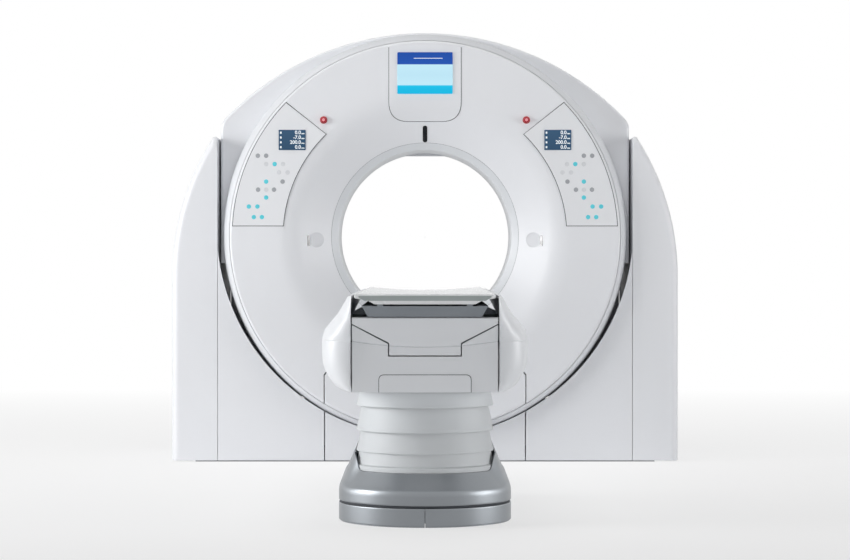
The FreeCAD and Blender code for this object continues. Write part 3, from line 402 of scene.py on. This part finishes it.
SLIP_RING = slip_ring_finish()
MAIN_SCREEN = screen_finish(
    "lit_main_screen",
    ((0.0, "#06B6E2"), (0.17, "#0ABEE8"), (0.2, "#30CBEC"), (0.215, "#C3EAF8"), (0.45, "#BDE5F5"),
     (0.7, "#C2E9F7"), (0.715, "#1C50AE"), (1.0, "#184AA4")), 633, 818)
PANEL_SCREEN = screen_finish("lit_panel_screen", ((0.0, "#2F4C68"), (1.0, "#365572")), 383, 473)
LIT_WHITE = screen_finish("lit_white_segments", ((0.0, "#EEF6FB"), (1.0, "#F6FBFE")), 383, 473)

# ---------------------------------------------------------------- drum: faces and band


def flare_line(flare, start, ease, steps=12):
    """The outside of a flare from the liner's lip, eased into the flat face, as (radius, depth)."""
    throat, corner = Vector((THROAT, start)), Vector((flare, FACE))
    lip = throat + (corner - throat) * (LIP - THROAT) / (flare - THROAT)
    back = (throat - corner).normalized() * ease
    line = [tuple(lip + (corner + back - lip) * i / 6) for i in range(6)]
    return line + bend(corner + back, corner, (flare + ease, FACE), steps)


def rim_line():
    """The rounded rim of the front face, from its flat part back to the band."""
    return [(760, FACE)] + bend((858, FACE), (869, FACE), (871, 450), 6) + [(RIM, RIM_DEPTH)]


def proud(line, by):
    """A line of (radius, depth) points moved outwards from the face."""
    moved = []
    for i, (r, y) in enumerate(line):
        r_0, y_0 = line[max(i - 1, 0)]
        r_1, y_1 = line[min(i + 1, len(line) - 1)]
        way = Vector((r_1 - r_0, y_1 - y_0)).normalized()
        moved.append((r - way.y * by, y + way.x * by))
    return moved


def face_skin(line, wall, tail):
    """A closed section from an outer line and its inner side, whose outer end the tail gives."""
    inner = [(max(r, LIP), y) for r, y in proud(line, -wall) if r < 700]
    return line + list(reversed(inner + tail))


def to_front(points):
    """The same (radius, depth) points on the couch's side of the drum."""
    return [(r, -y) for r, y in points]


FRONT_LINE = flare_line(FLARE, FLARE_START, 60) + rim_line()


def service_outline(inset):
    """The service panel at the foot of the face, as seen from the couch."""
    side, top, low, lean, drop = 450 - inset, -585 - inset, -900, 27, 33
    right = [(side, low), (side, top - drop), (side - lean, top)]
    return above(mirrored(right))


scoops = bmesh.new()
for side in (-1, 1):
    # a shallow scoop that gets deeper towards the laser's strip
    middle, deep_end, radius = 487, 12, 34
    slope = math.atan2(FLARE_RISE, FLARE_RUN) - math.atan2(deep_end, 2 * radius)
    y_0 = -FLARE_START - (middle - radius - THROAT) * FLARE_RISE / FLARE_RUN
    rings = []
    for out in (0, -60):
        ring = []
        for x, z in arc((middle, -16), radius, 0, 360, 48)[:-1]:
            lift = (x - (middle - radius)) * math.tan(slope)
            ring.append(scoops.verts.new((side * x, y_0 - lift + out, ISO + z)))
        rings.append(ring)
    skin_rings(scoops, rings)

cover_section = face_skin(FRONT_LINE, 15, [(843, 447), (864, 436)])
piece("face_cover", spun(to_front(cover_section), 288), SPRAYED, "drum", ["front_cover"],
      [("DIFFERENCE", slab(service_outline(-1.5), -500, -300)), ("DIFFERENCE", scoops)])
panel_section = face_skin([p for p in FRONT_LINE if p[0] > 545], 7, [(843, 455), (864, 436)])
piece("service_panel", spun(to_front(panel_section), 120, start=205, sweep=130), SPRAYED, "drum",
      ["front_service_panel"], [("INTERSECT", slab(service_outline(2.6), -500, -300))])

band = [(874, 434)] + bend((880, 424), (897, 402), (DRUM, DRUM_EDGE), 8)
band += [(DRUM, 300), (899, 300), (899, 364), (871, 427)]
piece("ring_band", spun(to_front(band), 288), MOULDED_GREY, "drum", ["ring_trim"])

rear_line = flare_line(REAR_FLARE, 128, 60) + [(760, FACE)]
rear_line += bend((836, FACE), (872, FACE), (DRUM, DRUM_EDGE), 8) + [(DRUM, 300)]
rear_skin = face_skin(rear_line, 7, [(836, 455), (899, 364), (899, 300)])
piece("rear_face_cover", spun(rear_skin, 256), SPRAYED, "drum", ["rear_cover"])

# ---------------------------------------------------------------- drum: hood


def arch(inset, low=-120, steps=64):
    """The hood's outline: upright sides and one long arc over the top."""
    half, radius = 922 - inset, 1250 - inset
    middle = 918.5 - 1250
    lean = math.degrees(math.asin(half / radius))
    crown = arc((0, middle), radius, 90 - lean, 90 + lean, steps)
    shoulder = Vector(crown[0])
    reach = 26
    step = next(i for i, p in enumerate(crown) if (Vector(p) - shoulder).length > reach)
    right = bend((half, shoulder.y - reach), shoulder, crown[step], 6)
    left = [(-x, z) for x, z in reversed(right)]
    return above([(-half, low), (half, low)] + right + crown[step + 1:-step - 1] + left)


seat = spun([(1, -320), (882, -320), (882, 320), (1, 320)], 192)
slots = bmesh.new()
for side in (-1, 1):
    slot = [(-56, -140), (56, -140)] + arc((0, 0), 56, 0, 180, 24)
    rings = [[slots.verts.new((side * x, y, ISO + z)) for y, z in slot] for x in (880, 940)]
    skin_rings(slots, rings)
piece("arched_hood", pillow(arch, -300, 300, 14), SPRAYED, "drum", ["hood"],
      [("DIFFERENCE", pillow(lambda inset: arch(inset + 10, -140), -290, 290, 8)),
       ("DIFFERENCE", seat), ("DIFFERENCE", slots)])

# ---------------------------------------------------------------- drum: what is on the face

for name, out, grow, finish, slot, stands_for in (
        ("display_frame", 3, 0, SPRAYED, "cover_white", ["display_surround"]),
        # the frame's seam: a dark plate a little larger than the frame, painted shade for the shadow in the
        # seam round it
        ("display_frame_seam", 1.0, 2.2, SEAM_SHADE, "socket_grey", ())):
    plate = proud([p for p in FRONT_LINE if 500 < p[0] < 800] + [(856, FACE)], out)
    half, low = 160 + grow, 514 - grow
    window = above(rounded([(half, 900, 0), (-half, 900, 0), (-half, low, 84), (half, low, 84)], 10))
    plate += [(856, FACE - 2), (505, 395)]
    piece(name, spun(to_front(plate), 80, start=65, sweep=50), finish, "drum", stands_for,
          [("INTERSECT", slab(window, -520, -300)), ("BEVEL", 0.8 if out > 2 else 0.3, 2)])
glass = above(rounded([(123, 633, 4), (123, 818, 4), (-123, 818, 4), (-123, 633, 4)]))
piece("main_screen", slab(glass, -470, -464), MAIN_SCREEN, "drum", ["main_display"],
      [("BEVEL", 0.8, 2)])
# a thin plain line in the screen's upper band
piece("screen_line", box((-50, -470.4, ISO + 790), (78, -469, ISO + 792.4)), LIT_WHITE, "drum")


def keypad_outline(side, grow=0):
    """The keypad's plate: two arcs round the bore, cut level below and at 45 degrees above."""
    inner, outer, low = 632 - grow, 858 + grow, 46 - grow
    inner_start, outer_start = (math.degrees(math.asin(low / r)) for r in (inner, outer))
    more = math.degrees(grow / 740)
    points = arc((0, 0), outer, outer_start, 43.9 + more, 24)
    points += arc((0, 0), inner, 45.9 + more, inner_start, 24)
    return above([(side * x, z) for x, z in points])


GREY_KEYS = ((744, 358), (707, 358), (634, 243), (743, 207), (672, 207))
CYAN_KEYS = ((669, 321), (707, 243), (707, 172), (784, 132), (746, 132), (762, 85), (726, 85))
PALE_KEYS = ((632, 321), (707, 321), (650, 284), (612, 284), (707, 207))


def key_tree():
    """Round keys with a small chamfer, one at each point, lying against the face."""
    tree = bpy.data.node_groups.new("membrane_keys", "GeometryNodeTree")
    sockets = {}
    wanted = (("Places", "Geometry"), ("Radius", "Float"), ("Height", "Float"), ("Finish", "Material"))
    for word, kind in wanted:
        made = tree.interface.new_socket(word, in_out="INPUT", socket_type="NodeSocket" + kind)
        sockets[word] = made.identifier
    tree.interface.new_socket("Keys", in_out="OUTPUT", socket_type="NodeSocketGeometry")
    given = add(tree, "NodeGroupInput").outputs
    top = reckoned(tree, "MULTIPLY", given["Radius"], 0.9)
    key = add(tree, "GeometryNodeMeshCone", {
        "Vertices": 28, "Radius Top": top, "Radius Bottom": given["Radius"],
        "Depth": given["Height"]}).outputs["Mesh"]
    laid = add(tree, "GeometryNodeInstanceOnPoints",
               {"Points": given["Places"], "Instance": key, "Rotation": (math.pi / 2, 0, 0)})
    real = add(tree, "GeometryNodeRealizeInstances", {"Geometry": laid.outputs["Instances"]})
    painted = add(tree, "GeometryNodeSetMaterial",
                  {"Geometry": real.outputs["Geometry"], "Material": given["Finish"]})
    add(tree, "NodeGroupOutput", {"Keys": painted.outputs["Geometry"]})
    return tree, sockets


KEYS, KEY_SOCKETS = key_tree()


def keys(name, places, finish, front=-465.0):
    """Membrane keys on both keypads, at places on the right one."""
    points = bpy.data.meshes.new(name)
    spots = [(side * x * MM, front * MM, (ISO + z) * MM) for side in (-1, 1) for x, z in places]
    points.from_pydata(spots, [], [])
    obj = bpy.data.objects.new(name, points)
    bpy.context.scene.collection.objects.link(obj)
    made = obj.modifiers.new("keys", "NODES")
    made.node_group = KEYS
    for word, value in (("Radius", 10 * MM), ("Height", 0.9 * MM), ("Finish", finish)):
        made[KEY_SOCKETS[word]] = value
    settle(obj)
    finished(obj, finish, "drum")


def number(name, text, right, foot, size, front):
    """Plain digits on a small display, as thin raised segments."""
    line = bpy.data.curves.new(name, "FONT")
    line.body = text
    line.align_x = "RIGHT"
    line.size = size * MM
    line.offset = 0.45 * MM
    line.extrude = 0.15 * MM
    obj = bpy.data.objects.new(name, line)
    bpy.context.scene.collection.objects.link(obj)
    graph = bpy.context.evaluated_depsgraph_get()
    data = bpy.data.meshes.new_from_object(obj.evaluated_get(graph), depsgraph=graph)
    bpy.data.objects.remove(obj)
    upright = Matrix.Rotation(math.pi / 2, 4, "X")
    data.transform(Matrix.Translation((right * MM, front * MM, (ISO + foot) * MM)) @ upright)
    return data


for word, side in (("left", -1), ("right", 1)):
    # a dark plate round each keypad, painted shade for the shadow in its seam
    piece(f"{word}_keypad_seam", slab(keypad_outline(side, 1.8), -462.8, -458), SEAM_SHADE, "drum")
    piece(f"{word}_keypad", slab(keypad_outline(side, -1.0), -465, -458), MEMBRANE, "drum",
          [f"{word}_control_panel"], [("BEVEL", 0.9, 2)])
    near, far = sorted((side * 531, side * 651))
    glass = above(rounded_box((near, 383), (far, 473), 3))
    piece(f"{word}_readout", slab(glass, -468, -464), PANEL_SCREEN, "drum",
          [f"{word}_panel_display"], [("BEVEL", 0.6, 2)])
    rows = bmesh.new()
    for row, text in enumerate(("0.0", "-7.0", "200.0", "0.0")):
        foot = 454 - 21.5 * row
        rows.from_mesh(number("row", text, far - 21, foot, 22, -468.1))
        rows.from_mesh(number("unit", "mm", far - 5, foot, 9, -468.1))
    bmesh.ops.scale(rows, vec=(1000, 1000, 1000), verts=rows.verts)
    for row in range(4):
        foot = ISO + 456 - 21.5 * row
        box((near + 6, -468.3, foot), (near + 13, -467.5, foot + 9), rows)
    piece(f"{word}_readout_digits", rows, LIT_WHITE, "drum")

keys("grey_keys", GREY_KEYS, KEY_GREY)
keys("cyan_keys", CYAN_KEYS, KEY_CYAN)
keys("pale_keys", PALE_KEYS, KEY_PALE)

seats = [(13, -471), (14.5, -471)] + bend((15, -470.6), (16.5, -470), (16.5, -467.5), 4)
seats += [(16.5, -460), (13, -460)]
cap = [(0.2, -482.2), (7, -482.6)] + bend((10, -482.2), (12.5, -481.5), (12.5, -478), 6)
cap += [(12.5, -468), (0.2, -468)]
dot = [(0.2, -483)] + bend((5.5, -482.95), (6.6, -482.9), (6.8, -482.3), 3) + [(6.8, -481), (0.2, -481)]
both = bmesh.new()
for word, side in (("left", -1), ("right", 1)):
    place = (side * 451, ISO + 517)
    ring = spun(seats, 64, place)
    loose = bpy.data.meshes.new("loose")
    ring.to_mesh(loose)
    both.from_mesh(loose)
    piece(f"{word}_stop_cap", spun(cap, 64, place), STOP_RED, f"{word}_estop",
          [f"{word}_estop_button"])
    piece(f"{word}_stop_centre", spun(dot, 48, place), STOP_PINK, f"{word}_estop")
piece("stop_seats", both, STOP_RED, "drum", ["estop_sockets"])

strips = bmesh.new()
for x, z, half_wide, half_tall, ease in (
        (-520, -20, 5, 22.5, 3), (520, -20, 5, 22.5, 3), (0, 459, 10, 36, 9.5)):
    window = rounded_box((x - half_wide, z - half_tall), (x + half_wide, z + half_tall), ease, 8)
    slab(above(window), -520, -330, strips)
glass_line = [(r, FLARE_START + (r - THROAT) * FLARE_RISE / FLARE_RUN) for r in range(410, 566, 5)]
strip_section = proud(glass_line, 1.6) + list(reversed(proud(glass_line, -0.5)))
piece("laser_strips", spun(to_front(strip_section), 192), SMOKED, "drum", ["laser_windows"],
      [("INTERSECT", strips)])

# ---------------------------------------------------------------- what stands still


def cover_outline(inset, wall=0.0, tip=12.0, low=6):
    """A side cover seen from the couch: upright outside, then an arc up to a rounded tip."""
    near, radius = COVER_INNER + wall, COVER_OUTER - wall - inset
    across = near + tip
    centre = (across, COVER_KNEE + rise(radius - tip, across))
    lean = math.degrees(math.atan2(centre[1] - COVER_KNEE, across))
    outline = [(near, low), (radius, low)] + arc((0, COVER_KNEE), radius, 0, lean, 48)
    return outline + arc(centre, tip, lean, 180, 10)[1:]


for word, side in (("left", -1), ("right", 1)):
    shell = pillow(cover_outline, -COVER_DEPTH, COVER_DEPTH, 32)
    inside = slab(cover_outline(0, 12, 4, 0), 12 - COVER_DEPTH, COVER_DEPTH - 12)
    hole = bmesh.new()
    round_trunnion = arc((0, 0), 62, 0, 360, 48)[:-1]
    rings = [[hole.verts.new((x, y, ISO + z)) for y, z in round_trunnion] for x in (920, 950)]
    skin_rings(hole, rings)
    for mesh in (shell, inside, hole):
        bmesh.ops.scale(mesh, vec=(side, 1, 1), verts=mesh.verts)
    piece(f"{word}_tall_cover", shell, SPRAYED, "base", [f"{word}_side_cover"],
          [("DIFFERENCE", inside), ("DIFFERENCE", hole)])


def lower_outline(from_x, to_x):
    """A flat panel below the drum, with its top edge on the round opening."""
    radius, middle, steps = 933, ISO + 33, 40
    edge = []
    for i in range(steps + 1):
        x = to_x + (from_x - to_x) * i / steps
        edge.append((x, middle - rise(radius, x)))
    return [(from_x, 6), (to_x, 6)] + edge


for name, from_x, to_x in (("left", -928, -452.2), ("centre", -447.8, 447.8), ("right", 452.2, 928)):
    panel = slab(lower_outline(from_x, to_x), -COVER_DEPTH, 10 - COVER_DEPTH)
    box((from_x + 3, 11 - COVER_DEPTH, 19), (to_x - 3, 50 - COVER_DEPTH, 25), panel)
    piece(f"lower_panel_{name}", panel, SPRAYED, "base", [f"front_{name}_lower_cover"],
          [("BEVEL", 1.6, 2)])
vents = bmesh.new()
for low_x, high_x in ((-800, -560), (560, 800)):
    for row in range(8):
        foot = 60 + 26 * row
        slab(rounded_box((low_x, foot), (high_x, foot + 10), 4.9), 380, 410, vents)
panel = slab(lower_outline(-928, 928), COVER_DEPTH - 10, COVER_DEPTH)
piece("rear_lower_panel", panel, SPRAYED, "base", ["rear_lower_cover"],
      [("DIFFERENCE", vents), ("BEVEL", 1.6, 2)])


# ---------------------------------------------------------------- couch: base and skirts

PLINTH = [(286, 0), (294, 0), (294, 3.5)] + bend((297, 3.5), (300, 3.5), (300, 7), 3)
PLINTH += bend((300, 60), (300, 64.5), (296, 65), 4) + [(286, 65), (286, 68), (278, 68), (278, 12)]
# where the two halves of the base's metal sheet meet, at both round ends
joints = box((-0.9, -3270, -10), (0.9, -3230, 300))
box((-0.9, -2070, -10), (0.9, -2030, 300), joints)
piece("base_plinth", swept(lambda c, s, centre: PLINTH), ANODISED, "base", ["couch_plinth"],
      [("DIFFERENCE", joints)])
# a dark strip between the plinth and the flank, painted shade for the shadow gap there
piece("base_seam_shade", swept(lambda c, s, centre: [(287, 64), (294, 66), (294, 71), (287, 73)]), SEAM_SHADE, "base")


def base_section(c, s, centre):
    """The base cover's section. Its rim stands higher along the sides than at the two ends."""
    side = min(1.0, max(0.0, (abs(c) - 0.89) / 0.1))
    lift = side * side * (3 - 2 * side)
    top, reach = 178 + 54 * lift, 250.8 - 3.5 * lift
    outer = [(290, 68), (290, 72), (296, 72)] + bend((299, 73), (300, 74), (300, 78), 3)
    outer += bend((300, 100), (300, 118 + 4 * lift), (294 - 2 * lift, 124 + 12 * lift), 6)
    waist = (272 - 2 * lift, 150 + 26 * lift)
    outer += bend((286 - 2 * lift, 133 + 14 * lift), waist, (reach + 1.2, top - 2), 8)
    rim = [(reach, top), (reach - 3.5, top), (reach - 4.5, top - 3)]
    return outer + rim + [(246.5 - 0.5 * lift, 172), (246.5, 110), (280, 84), (286, 68)]


piece("base_flank", swept(base_section), ANODISED, "base", ["couch_base_cover"])

COLLAR = [(234, 178)] + bend((243, 178), (246, 178), (246, 181), 3)
COLLAR += bend((246, 190), (246, 197), (239.5, 198), 5)
COLLAR += [(237.2, 199.5), (237, 203), (223.5, 270), (219, 270), (219, 178)]
piece("skirt_foot", swept(lambda c, s, centre: COLLAR), ELASTOMER, "base", ["skirt_collar"])


def band_section(low, tall):
    """A skirt band: a thin wall that leans in towards its top, with a rolled lip at its foot."""
    lean = 0.2
    top = 238 - lean * tall
    lip = [(235.6, low)] + bend((236.4, low), (238, low), (237.6, low + 4), 4)
    lip += bend((237.2, low + 7), (236, low + 10), (234.6, low + 17), 4)
    crown = bend((top + 0.6, low + tall - 3), (top, low + tall), (top - 1, low + tall), 3)
    return lip + crown + [(top - 2.3, low + tall)]


for word, low, tall in (("upper", 400, 98), ("middle", 314, 140), ("lower", 242, 118)):
    section = band_section(low, tall)
    piece(f"{word}_band", swept(lambda c, s, centre: section), ELASTOMER, f"{word}_skirt",
          [f"skirt_{word}"])

# ---------------------------------------------------------------- couch: shells and panels

# the side shell along the couch: place, half width there, and height of its underside
STATIONS = ((-3306, 336, 460), (-2998, 358, 460), (-2300, 378, 460), (-1900, 376, 462), (-1080, 340, 590))
WIDEST = 378
SHELL_FOOT, SHELL_LENGTH = -3306, 2226


def along(y):
    """The couch's half width, on a smooth curve, and the height of its underside at a place along it."""
    for i, (y_0, wide_0, low_0) in enumerate(STATIONS[:-1]):
        y_1, wide_1, low_1 = STATIONS[i + 1]
        if y <= y_1:
            t = (y - y_0) / (y_1 - y_0)
            before, after = STATIONS[max(i - 1, 0)][1], STATIONS[min(i + 2, 4)][1]
            m_0, m_1 = (wide_1 - before) * 0.4, (after - wide_0) * 0.4
            h = (2 * t**3 - 3 * t**2 + 1, t**3 - 2 * t**2 + t, 3 * t**2 - 2 * t**3, t**3 - t**2)
            wide = h[0] * wide_0 + h[1] * m_0 + h[2] * wide_1 + h[3] * m_1
            return min(wide, WIDEST), low_0 + (low_1 - low_0) * t
    return STATIONS[-1][1:]


def crease_at(x):
    """Height of the crease that runs across the foot end and on along the shells."""
    return 612 + 20 * min(abs(x) / SEAM, 1.3) ** 2


def front_at(x, z):
    """Depth of the couch's foot end: upright below the crease, leaning out above it."""
    crease = crease_at(x)
    lean = max(0.0, (z - crease) / (712 - crease))
    return -3302 - 24 * min(lean, 1.0)


def shell_section(widest, low):
    """The shell's wall across the couch as (x, z): outside from the foot up, then inside down."""
    span = widest - SEAM

    def at(share, z):
        crease = 632
        if z < crease:
            z = low + (z - 460) * (crease - low) / (crease - 460)
        return SEAM + 0.5 + span * share, z

    lower = [at(0, 460), at(0.1, 460)] + bend(at(0.3, 463), at(0.8, 480), at(0.96, 545), 8)
    lower += bend(at(0.985, 565), at(1.0, 595), at(0.985, 628), 5)
    groove = [at(0.985 - 2.2 / max(span, 10), 631), at(0.985, 633)]
    upper = bend(at(0.95, 648), at(0.84, 668), at(0.6, 703), 6)
    upper += [at(0.42, 733), at(0.28, 760)]
    upper += bend(at(0.2, 774), at(0.14, 784), at(0.06, 784), 5) + [at(0, 784)]
    inner = [at(0, 774), at(0.1, 770), at(0.36, 722), at(0.85, 628)]
    inner += [at(0.82, 560), at(0.6, 492), at(0.1, 470), at(0, 470)]
    return lower + groove + upper + inner


for word, side in (("left", -1), ("right", 1)):
    mesh = bmesh.new()
    rings = []
    nose, steps = 96, 14
    places = [SHELL_FOOT + nose * (1 - math.cos(math.radians(90 * i / steps))) for i in range(steps + 1)]
    places += [SHELL_FOOT + nose + (SHELL_LENGTH - nose) * i / 44 for i in range(1, 45)]
    for y in places:
        widest, low = along(y)
        t = min(1.0, (y - SHELL_FOOT) / nose)
        share = max(0.05, math.sqrt(1 - (1 - t) ** 2))
        ring = []
        for x, z in shell_section(SEAM + (widest - SEAM) * share, low):
            tuck = (1 - t) ** 2
            ring.append(mesh.verts.new((side * x, y + tuck * (front_at(SEAM, z) - SHELL_FOOT), z)))
        rings.append(ring)
    skin_rings(mesh, rings)
    piece(f"{word}_shell", mesh, SHELL_PAINT, "couch", [f"{word}_side_shell"], sharp=40)


def foot_block(half):
    """The foot end's plate, with its crease along an arc and a rounded top."""
    mesh = bmesh.new()
    rings = []
    for i in range(49):
        x = -half + 2 * half * i / 48
        crease = crease_at(x)
        heights = [460, 480, 520, 560, 590, crease - 2, crease, crease + 2]
        heights += [crease + (700 - crease) * k / 5 for k in range(1, 6)]
        front = [(front_at(x, z) + (2.6 if z == crease else 0.0), z) for z in heights]
        front += bend((front_at(x, 703), 703), (-3327, 712), (-3316, 712), 6)
        back = [(-3268, 712), (-3268, 702), (-3308, 700), (-3290, crease), (-3290, 460)]
        rings.append([mesh.verts.new((x, y, z)) for y, z in front + back])
    skin_rings(mesh, rings)
    return mesh


def foot_seam(inset):
    """The upper cover's lower edge: down from the corners to a notch in the middle."""
    right = [(122 - inset, 582 + inset, 3), (122 - inset, 624 + inset, 3), (SEAM + 4, 691 + inset, 0)]
    left = [(-x, z, r) for x, z, r in reversed(right)]
    return rounded(right + [(SEAM + 4, 760, 0), (-SEAM - 4, 760, 0)] + left, 4)


HALF = 244.6
piece("foot_lower_panel", foot_block(HALF), SHELL_PAINT, "couch", ["foot_panel"],
      [("DIFFERENCE", slab(foot_seam(-2.0), -3400, -3200))])
piece("foot_top_cover", foot_block(HALF), SHELL_PAINT, "couch", ["foot_upper_cover"],
      [("INTERSECT", slab(foot_seam(2.0), -3400, -3200))])
hatch = rounded([(-154, 460, 0), (154, 460, 0), (154, 518, 18), (-154, 518, 18)], 8)
# a dark plate behind the hatch, painted shade for the shadow in its seam
piece("foot_hatch_seam", slab(rounded([(-156, 460, 0), (156, 460, 0), (156, 520, 19), (-156, 520, 19)], 8),
                              -3302.6, -3300), SEAM_SHADE, "couch")
piece("foot_hatch", slab(hatch, -3305, -3300), SHELL_PAINT, "couch", ["foot_access_panel"],
      [("BEVEL", 1.2, 3)])


def table_outline(half, flat, low, top, hollow):
    """The tabletop's section: a flat keel, edges turned up at 45 degrees and a shallow hollow on top."""
    right = [(flat, low, 5), (half - 40, low + 15, 6), (half, low + 20, 5)]
    right += [(half, top, 3.5), (half - 9, top, 5)]
    if hollow:
        right += [(x, top - 12.5 * (1 - (x / (half - 9)) ** 2), 0) for x in (190, 150, 110, 70, 30)]
    return rounded(mirrored(right), 5)


piece("cradle_top", slab(table_outline(236, 168, 756, 790, True), -3346, -1000), GELCOAT, "table",
      ["tabletop"])
lip = rounded(mirrored([(203, 768, 3), (222, 779, 3), (222, 784.5, 2)]), 4)
piece("cradle_end", slab(table_outline(234, 166, 756.5, 789.5, False), -3352.9, -3346), GELCOAT, "table",
      ["tabletop_end_cap"], [("BEVEL", 1.6, 3), ("DIFFERENCE", slab(lip, -3360, -3350.5))])
piece("cradle_end_insert", slab(lip, -3352, -3350), INSERT, "table",
      steps=[("BEVEL", 0.5, 2)])

# the rail bed with its two runners, closed at the foot end by a plate. Its dark grey powder coat is partly
# painted shade, for the shadow under the tabletop.
rail = [(190, 714), (213, 751), (176, 751), (168, 724), (160, 724), (160, 755.6), (140, 755.6), (140, 724)]
bed = slab(mirrored(rail), -3332, -1084)
slab(mirrored([(189, 715), (211, 750)]), -3334, -3331, bed)
piece("rail_trough", bed, POWDER_COAT, "couch", ["rail_bed"], [("BEVEL", 0.8, 2)])

# ---------------------------------------------------------------- nodes that keep their own shape

KEPT = {
    ROLLED_SHEET: "bore_liner",
    MOULDED_GREY: "bore_indicator",
    SPRAYED: "lower_drum_cover",
    SHELL_PAINT: "couch_belly_pan couch_end_cover",
    POWDER_COAT: "gantry_base_plate left_stand right_stand couch_floor_plate couch_frame rotor_drum "
                 "generator heat_exchanger",
    GROUND_STEEL: "main_bearing_housing",
    CAST_IRON: "counterweight left_tilt_bearing right_tilt_bearing",
    CAST_ALLOY: "tilt_frame x_ray_tube detector_array front_lift_column rear_lift_column tilt_gearmotor",
    SLIP_RING: "slip_ring",
    DUCT_PVC: "floor_duct",
}
for finish, names in KEPT.items():
    for name in names.split():
        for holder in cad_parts[name].material_slots:
            holder.material = finish

# ---------------------------------------------------------------- stage, light and camera


def looked_at(tree):
    """1 to the camera, to reflections and through glass, and 0 to light that bounces."""
    path = add(tree, "ShaderNodeLightPath").outputs
    seen = reckoned(tree, "MAXIMUM", path["Is Camera Ray"], path["Is Glossy Ray"])
    return reckoned(tree, "MAXIMUM", seen, path["Is Transmission Ray"])


def studio_floor():
    """Pale seamless floor. To the camera it is almost white far away, and it keeps the shadows."""
    finish = bpy.data.materials.new("seamless_studio_floor")
    finish.use_nodes = True
    tree = finish.node_tree
    tree.nodes.clear()
    place = add(tree, "ShaderNodeTexCoord").outputs["Object"]
    deep = add(tree, "ShaderNodeSeparateXYZ", {0: place}).outputs["Y"]
    share = add(tree, "ShaderNodeMapRange", {"Value": deep, "From Min": -4.0, "From Max": 6.0, "To Min": 0.6,
                                             "To Max": 1.0}).outputs["Result"]
    fine = noise(tree, place, 90.0, 2.0)
    bump = add(tree, "ShaderNodeBump", {"Height": fine, "Strength": 0.3, "Distance": 0.0004})
    matt = add(tree, "ShaderNodeBsdfDiffuse", {"Color": linear("#F2F2F3"), "Normal": bump.outputs["Normal"]})
    lit = add(tree, "ShaderNodeEmission", {"Color": (1, 1, 1, 1), "Strength": 1.0})
    both = reckoned(tree, "MULTIPLY", looked_at(tree), share)
    mixed = add(tree, "ShaderNodeMixShader", {0: both, 1: matt.outputs[0], 2: lit.outputs[0]})
    add(tree, "ShaderNodeOutputMaterial", {"Surface": mixed.outputs[0]})
    mesh = bmesh.new()
    bmesh.ops.create_grid(mesh, x_segments=12, y_segments=12, size=24000)
    floor = as_object("studio_floor", mesh)
    floor.data.materials.append(finish)


def studio_world():
    """White to the camera and to reflections, and a soft even light on everything else."""
    world = bpy.data.worlds.new("studio")
    bpy.context.scene.world = world
    world.use_nodes = True
    tree = world.node_tree
    tree.nodes.clear()
    soft = add(tree, "ShaderNodeBackground", {"Color": linear("#F1F3F6"), "Strength": 0.02})
    white = add(tree, "ShaderNodeBackground", {"Color": (1, 1, 1, 1), "Strength": 1.0})
    mixed = add(tree, "ShaderNodeMixShader", {0: looked_at(tree), 1: soft.outputs[0], 2: white.outputs[0]})
    add(tree, "ShaderNodeOutputWorld", {"Surface": mixed.outputs[0]})


def lamp(name, place, target, size, power, mirrored_in_gloss=True):
    """A soft box that looks at a point."""
    light = bpy.data.lights.new(name, "AREA")
    light.shape = "RECTANGLE"
    light.size, light.size_y = size
    light.energy = power
    obj = bpy.data.objects.new(name, light)
    bpy.context.scene.collection.objects.link(obj)
    obj.location = place
    obj.visible_glossy = mirrored_in_gloss
    obj.rotation_euler = (Vector(target) - Vector(place)).to_track_quat("-Z", "Y").to_euler()


studio_floor()
studio_world()
lamp("left_softbox", (-7.0, -3.5, 2.6), (0, -1.5, 0.8), (3.5, 3.0), 300)
lamp("left_low_softbox", (-6.0, -2.4, 0.7), (0, -2.6, 0.3), (4.5, 1.2), 70)
lamp("right_softbox", (7.0, -3.5, 1.6), (0, -1.5, 0.8), (3.5, 2.5), 130)
lamp("right_low_softbox", (6.0, -2.4, 0.7), (0, -2.6, 0.3), (4.5, 1.2), 38)
lamp("front_softbox", (0.0, -13.0, 0.9), (0, -0.6, 0.6), (7.0, 1.6), 295, mirrored_in_gloss=False)
lamp("top_softbox", (0.0, -1.5, 6.5), (0, -0.8, 0.0), (5.0, 5.0), 158)

# the camera fitted to the photo: its width, focal length and downward pitch, in pixels
PHOTO_WIDTH, FOCAL, PITCH = 850, 2579, 20
lens = bpy.data.cameras.new("photo_camera")
lens.sensor_fit = "HORIZONTAL"
lens.sensor_width = 36.0
lens.lens = FOCAL * 36 / PHOTO_WIDTH
lens.clip_end = 100
camera = bpy.data.objects.new("photo_camera", lens)
bpy.context.scene.collection.objects.link(camera)
camera.location = (0, -11.946, 0.904)
camera.rotation_euler = (math.radians(90) - math.atan2(PITCH, FOCAL), 0, 0)
bpy.context.scene.camera = camera
bpy.context.scene.view_settings.view_transform = "Standard"
